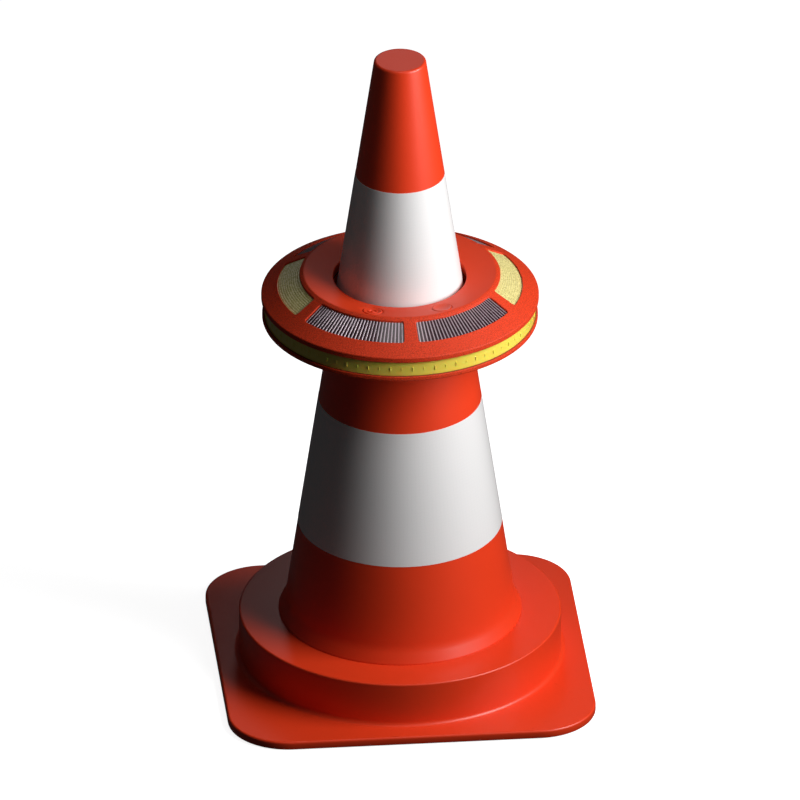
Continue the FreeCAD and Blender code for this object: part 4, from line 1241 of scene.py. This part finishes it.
# ---- Operators and panel ----------------------------------------------------------------------

class BuildStep(bpy.types.Operator):
    """One step of the build"""
    bl_options = {"REGISTER", "UNDO"}


class ConeBuildCone(BuildStep):
    """Make the hollow cone"""
    bl_idname = "cone_lamp.cone"
    bl_label = "Cone"

    def execute(self, context):
        make_cone()
        return {"FINISHED"}


class ConeBuildSleeves(BuildStep):
    """Make the two reflective sleeves"""
    bl_idname = "cone_lamp.sleeves"
    bl_label = "Sleeves"

    def execute(self, context):
        film = sleeve_film()
        make_sleeve("upper_sleeve", UPPER, film)
        make_sleeve("lower_sleeve", LOWER, film)
        return {"FINISHED"}


class ConeBuildBase(BuildStep):
    """Make the base moulding, its cover and its feet"""
    bl_idname = "cone_lamp.base"
    bl_label = "Base"

    def execute(self, context):
        make_base()
        make_base_cover()
        make_feet()
        return {"FINISHED"}


class ConeBuildShells(BuildStep):
    """Make the lamp's two shells and screws"""
    bl_idname = "cone_lamp.shells"
    bl_label = "Lamp shells"

    def execute(self, context):
        make_top_shell()
        make_bottom_shell()
        return {"FINISHED"}


class ConeBuildLens(BuildStep):
    """Make the lens band and the seals"""
    bl_idname = "cone_lamp.lens"
    bl_label = "Lens and seals"

    def execute(self, context):
        make_lens()
        return {"FINISHED"}


class ConeBuildSolarPanels(BuildStep):
    """Finish the solar panels behind the windows"""
    bl_idname = "cone_lamp.solar_panels"
    bl_label = "Solar panels"

    def execute(self, context):
        make_solar_panels()
        return {"FINISHED"}


class ConeBuildReflectors(BuildStep):
    """Finish the prismatic reflectors"""
    bl_idname = "cone_lamp.reflectors"
    bl_label = "Reflectors"

    def execute(self, context):
        make_reflectors()
        return {"FINISHED"}


class ConeBuildButtons(BuildStep):
    """Make the two push buttons"""
    bl_idname = "cone_lamp.buttons"
    bl_label = "Buttons"

    def execute(self, context):
        turn = context.scene.cone_lamp.button_azimuth
        plain = [(2.0 * MM, 0.0), (0.6 * MM, 0.0)]
        ringed = [(5.6 * MM, 0.0), (5.1 * MM, 0.6 * MM), (3.9 * MM, 0.6 * MM), (3.4 * MM, 0.0),
                  (2.1 * MM, 0.0), (1.6 * MM, 0.6 * MM), (0.4 * MM, 0.7 * MM)]
        make_button("power_button", turn, plain)
        make_button("mode_button", -turn, ringed)
        return {"FINISHED"}


class ConeBuildSeat(BuildStep):
    """Make the rubber seat in the bore"""
    bl_idname = "cone_lamp.seat"
    bl_label = "Rubber seat"

    def execute(self, context):
        make_seat()
        return {"FINISHED"}


class ConeBuildInsides(BuildStep):
    """Finish the boards, battery and ballast"""
    bl_idname = "cone_lamp.insides"
    bl_label = "Insides"

    def execute(self, context):
        make_insides()
        return {"FINISHED"}


class ConeBuildStage(BuildStep):
    """Set the camera, lights and floor"""
    bl_idname = "cone_lamp.stage"
    bl_label = "Stage"

    def execute(self, context):
        make_stage()
        return {"FINISHED"}


STEPS = (ConeBuildStage, ConeBuildCone, ConeBuildSleeves, ConeBuildBase, ConeBuildShells,
         ConeBuildLens, ConeBuildSolarPanels, ConeBuildReflectors, ConeBuildButtons,
         ConeBuildSeat, ConeBuildInsides)
GROUPS = (("cone_body", ConeSettings), ("cone_lamp", LampSettings), ("cone_finish", FinishSettings))


class ConeLampPanel(bpy.types.Panel):
    """Settings and build steps of the cone lamp"""
    bl_idname = "VIEW3D_PT_cone_lamp"
    bl_label = "Cone Lamp"
    bl_space_type = "VIEW_3D"
    bl_region_type = "UI"
    bl_category = "Cone Lamp"

    def draw(self, context):
        for name, group in GROUPS:
            box = self.layout.box()
            for setting in group.__annotations__:
                box.prop(getattr(context.scene, name), setting)
        for step in STEPS:
            self.layout.operator(step.bl_idname)


def register():
    for name, group in GROUPS:
        bpy.utils.register_class(group)
        setattr(bpy.types.Scene, name, PointerProperty(type=group))
    for step in STEPS:
        bpy.utils.register_class(step)
    bpy.utils.register_class(ConeLampPanel)


def unregister():
    bpy.utils.unregister_class(ConeLampPanel)
    for step in reversed(STEPS):
        bpy.utils.unregister_class(step)
    for name, group in reversed(GROUPS):
        delattr(bpy.types.Scene, name)
        bpy.utils.unregister_class(group)


def main():
    register()
    for step in STEPS:
        family, action = step.bl_idname.split(".")
        getattr(getattr(bpy.ops, family), action)()


if __name__ == "__main__":
    main()
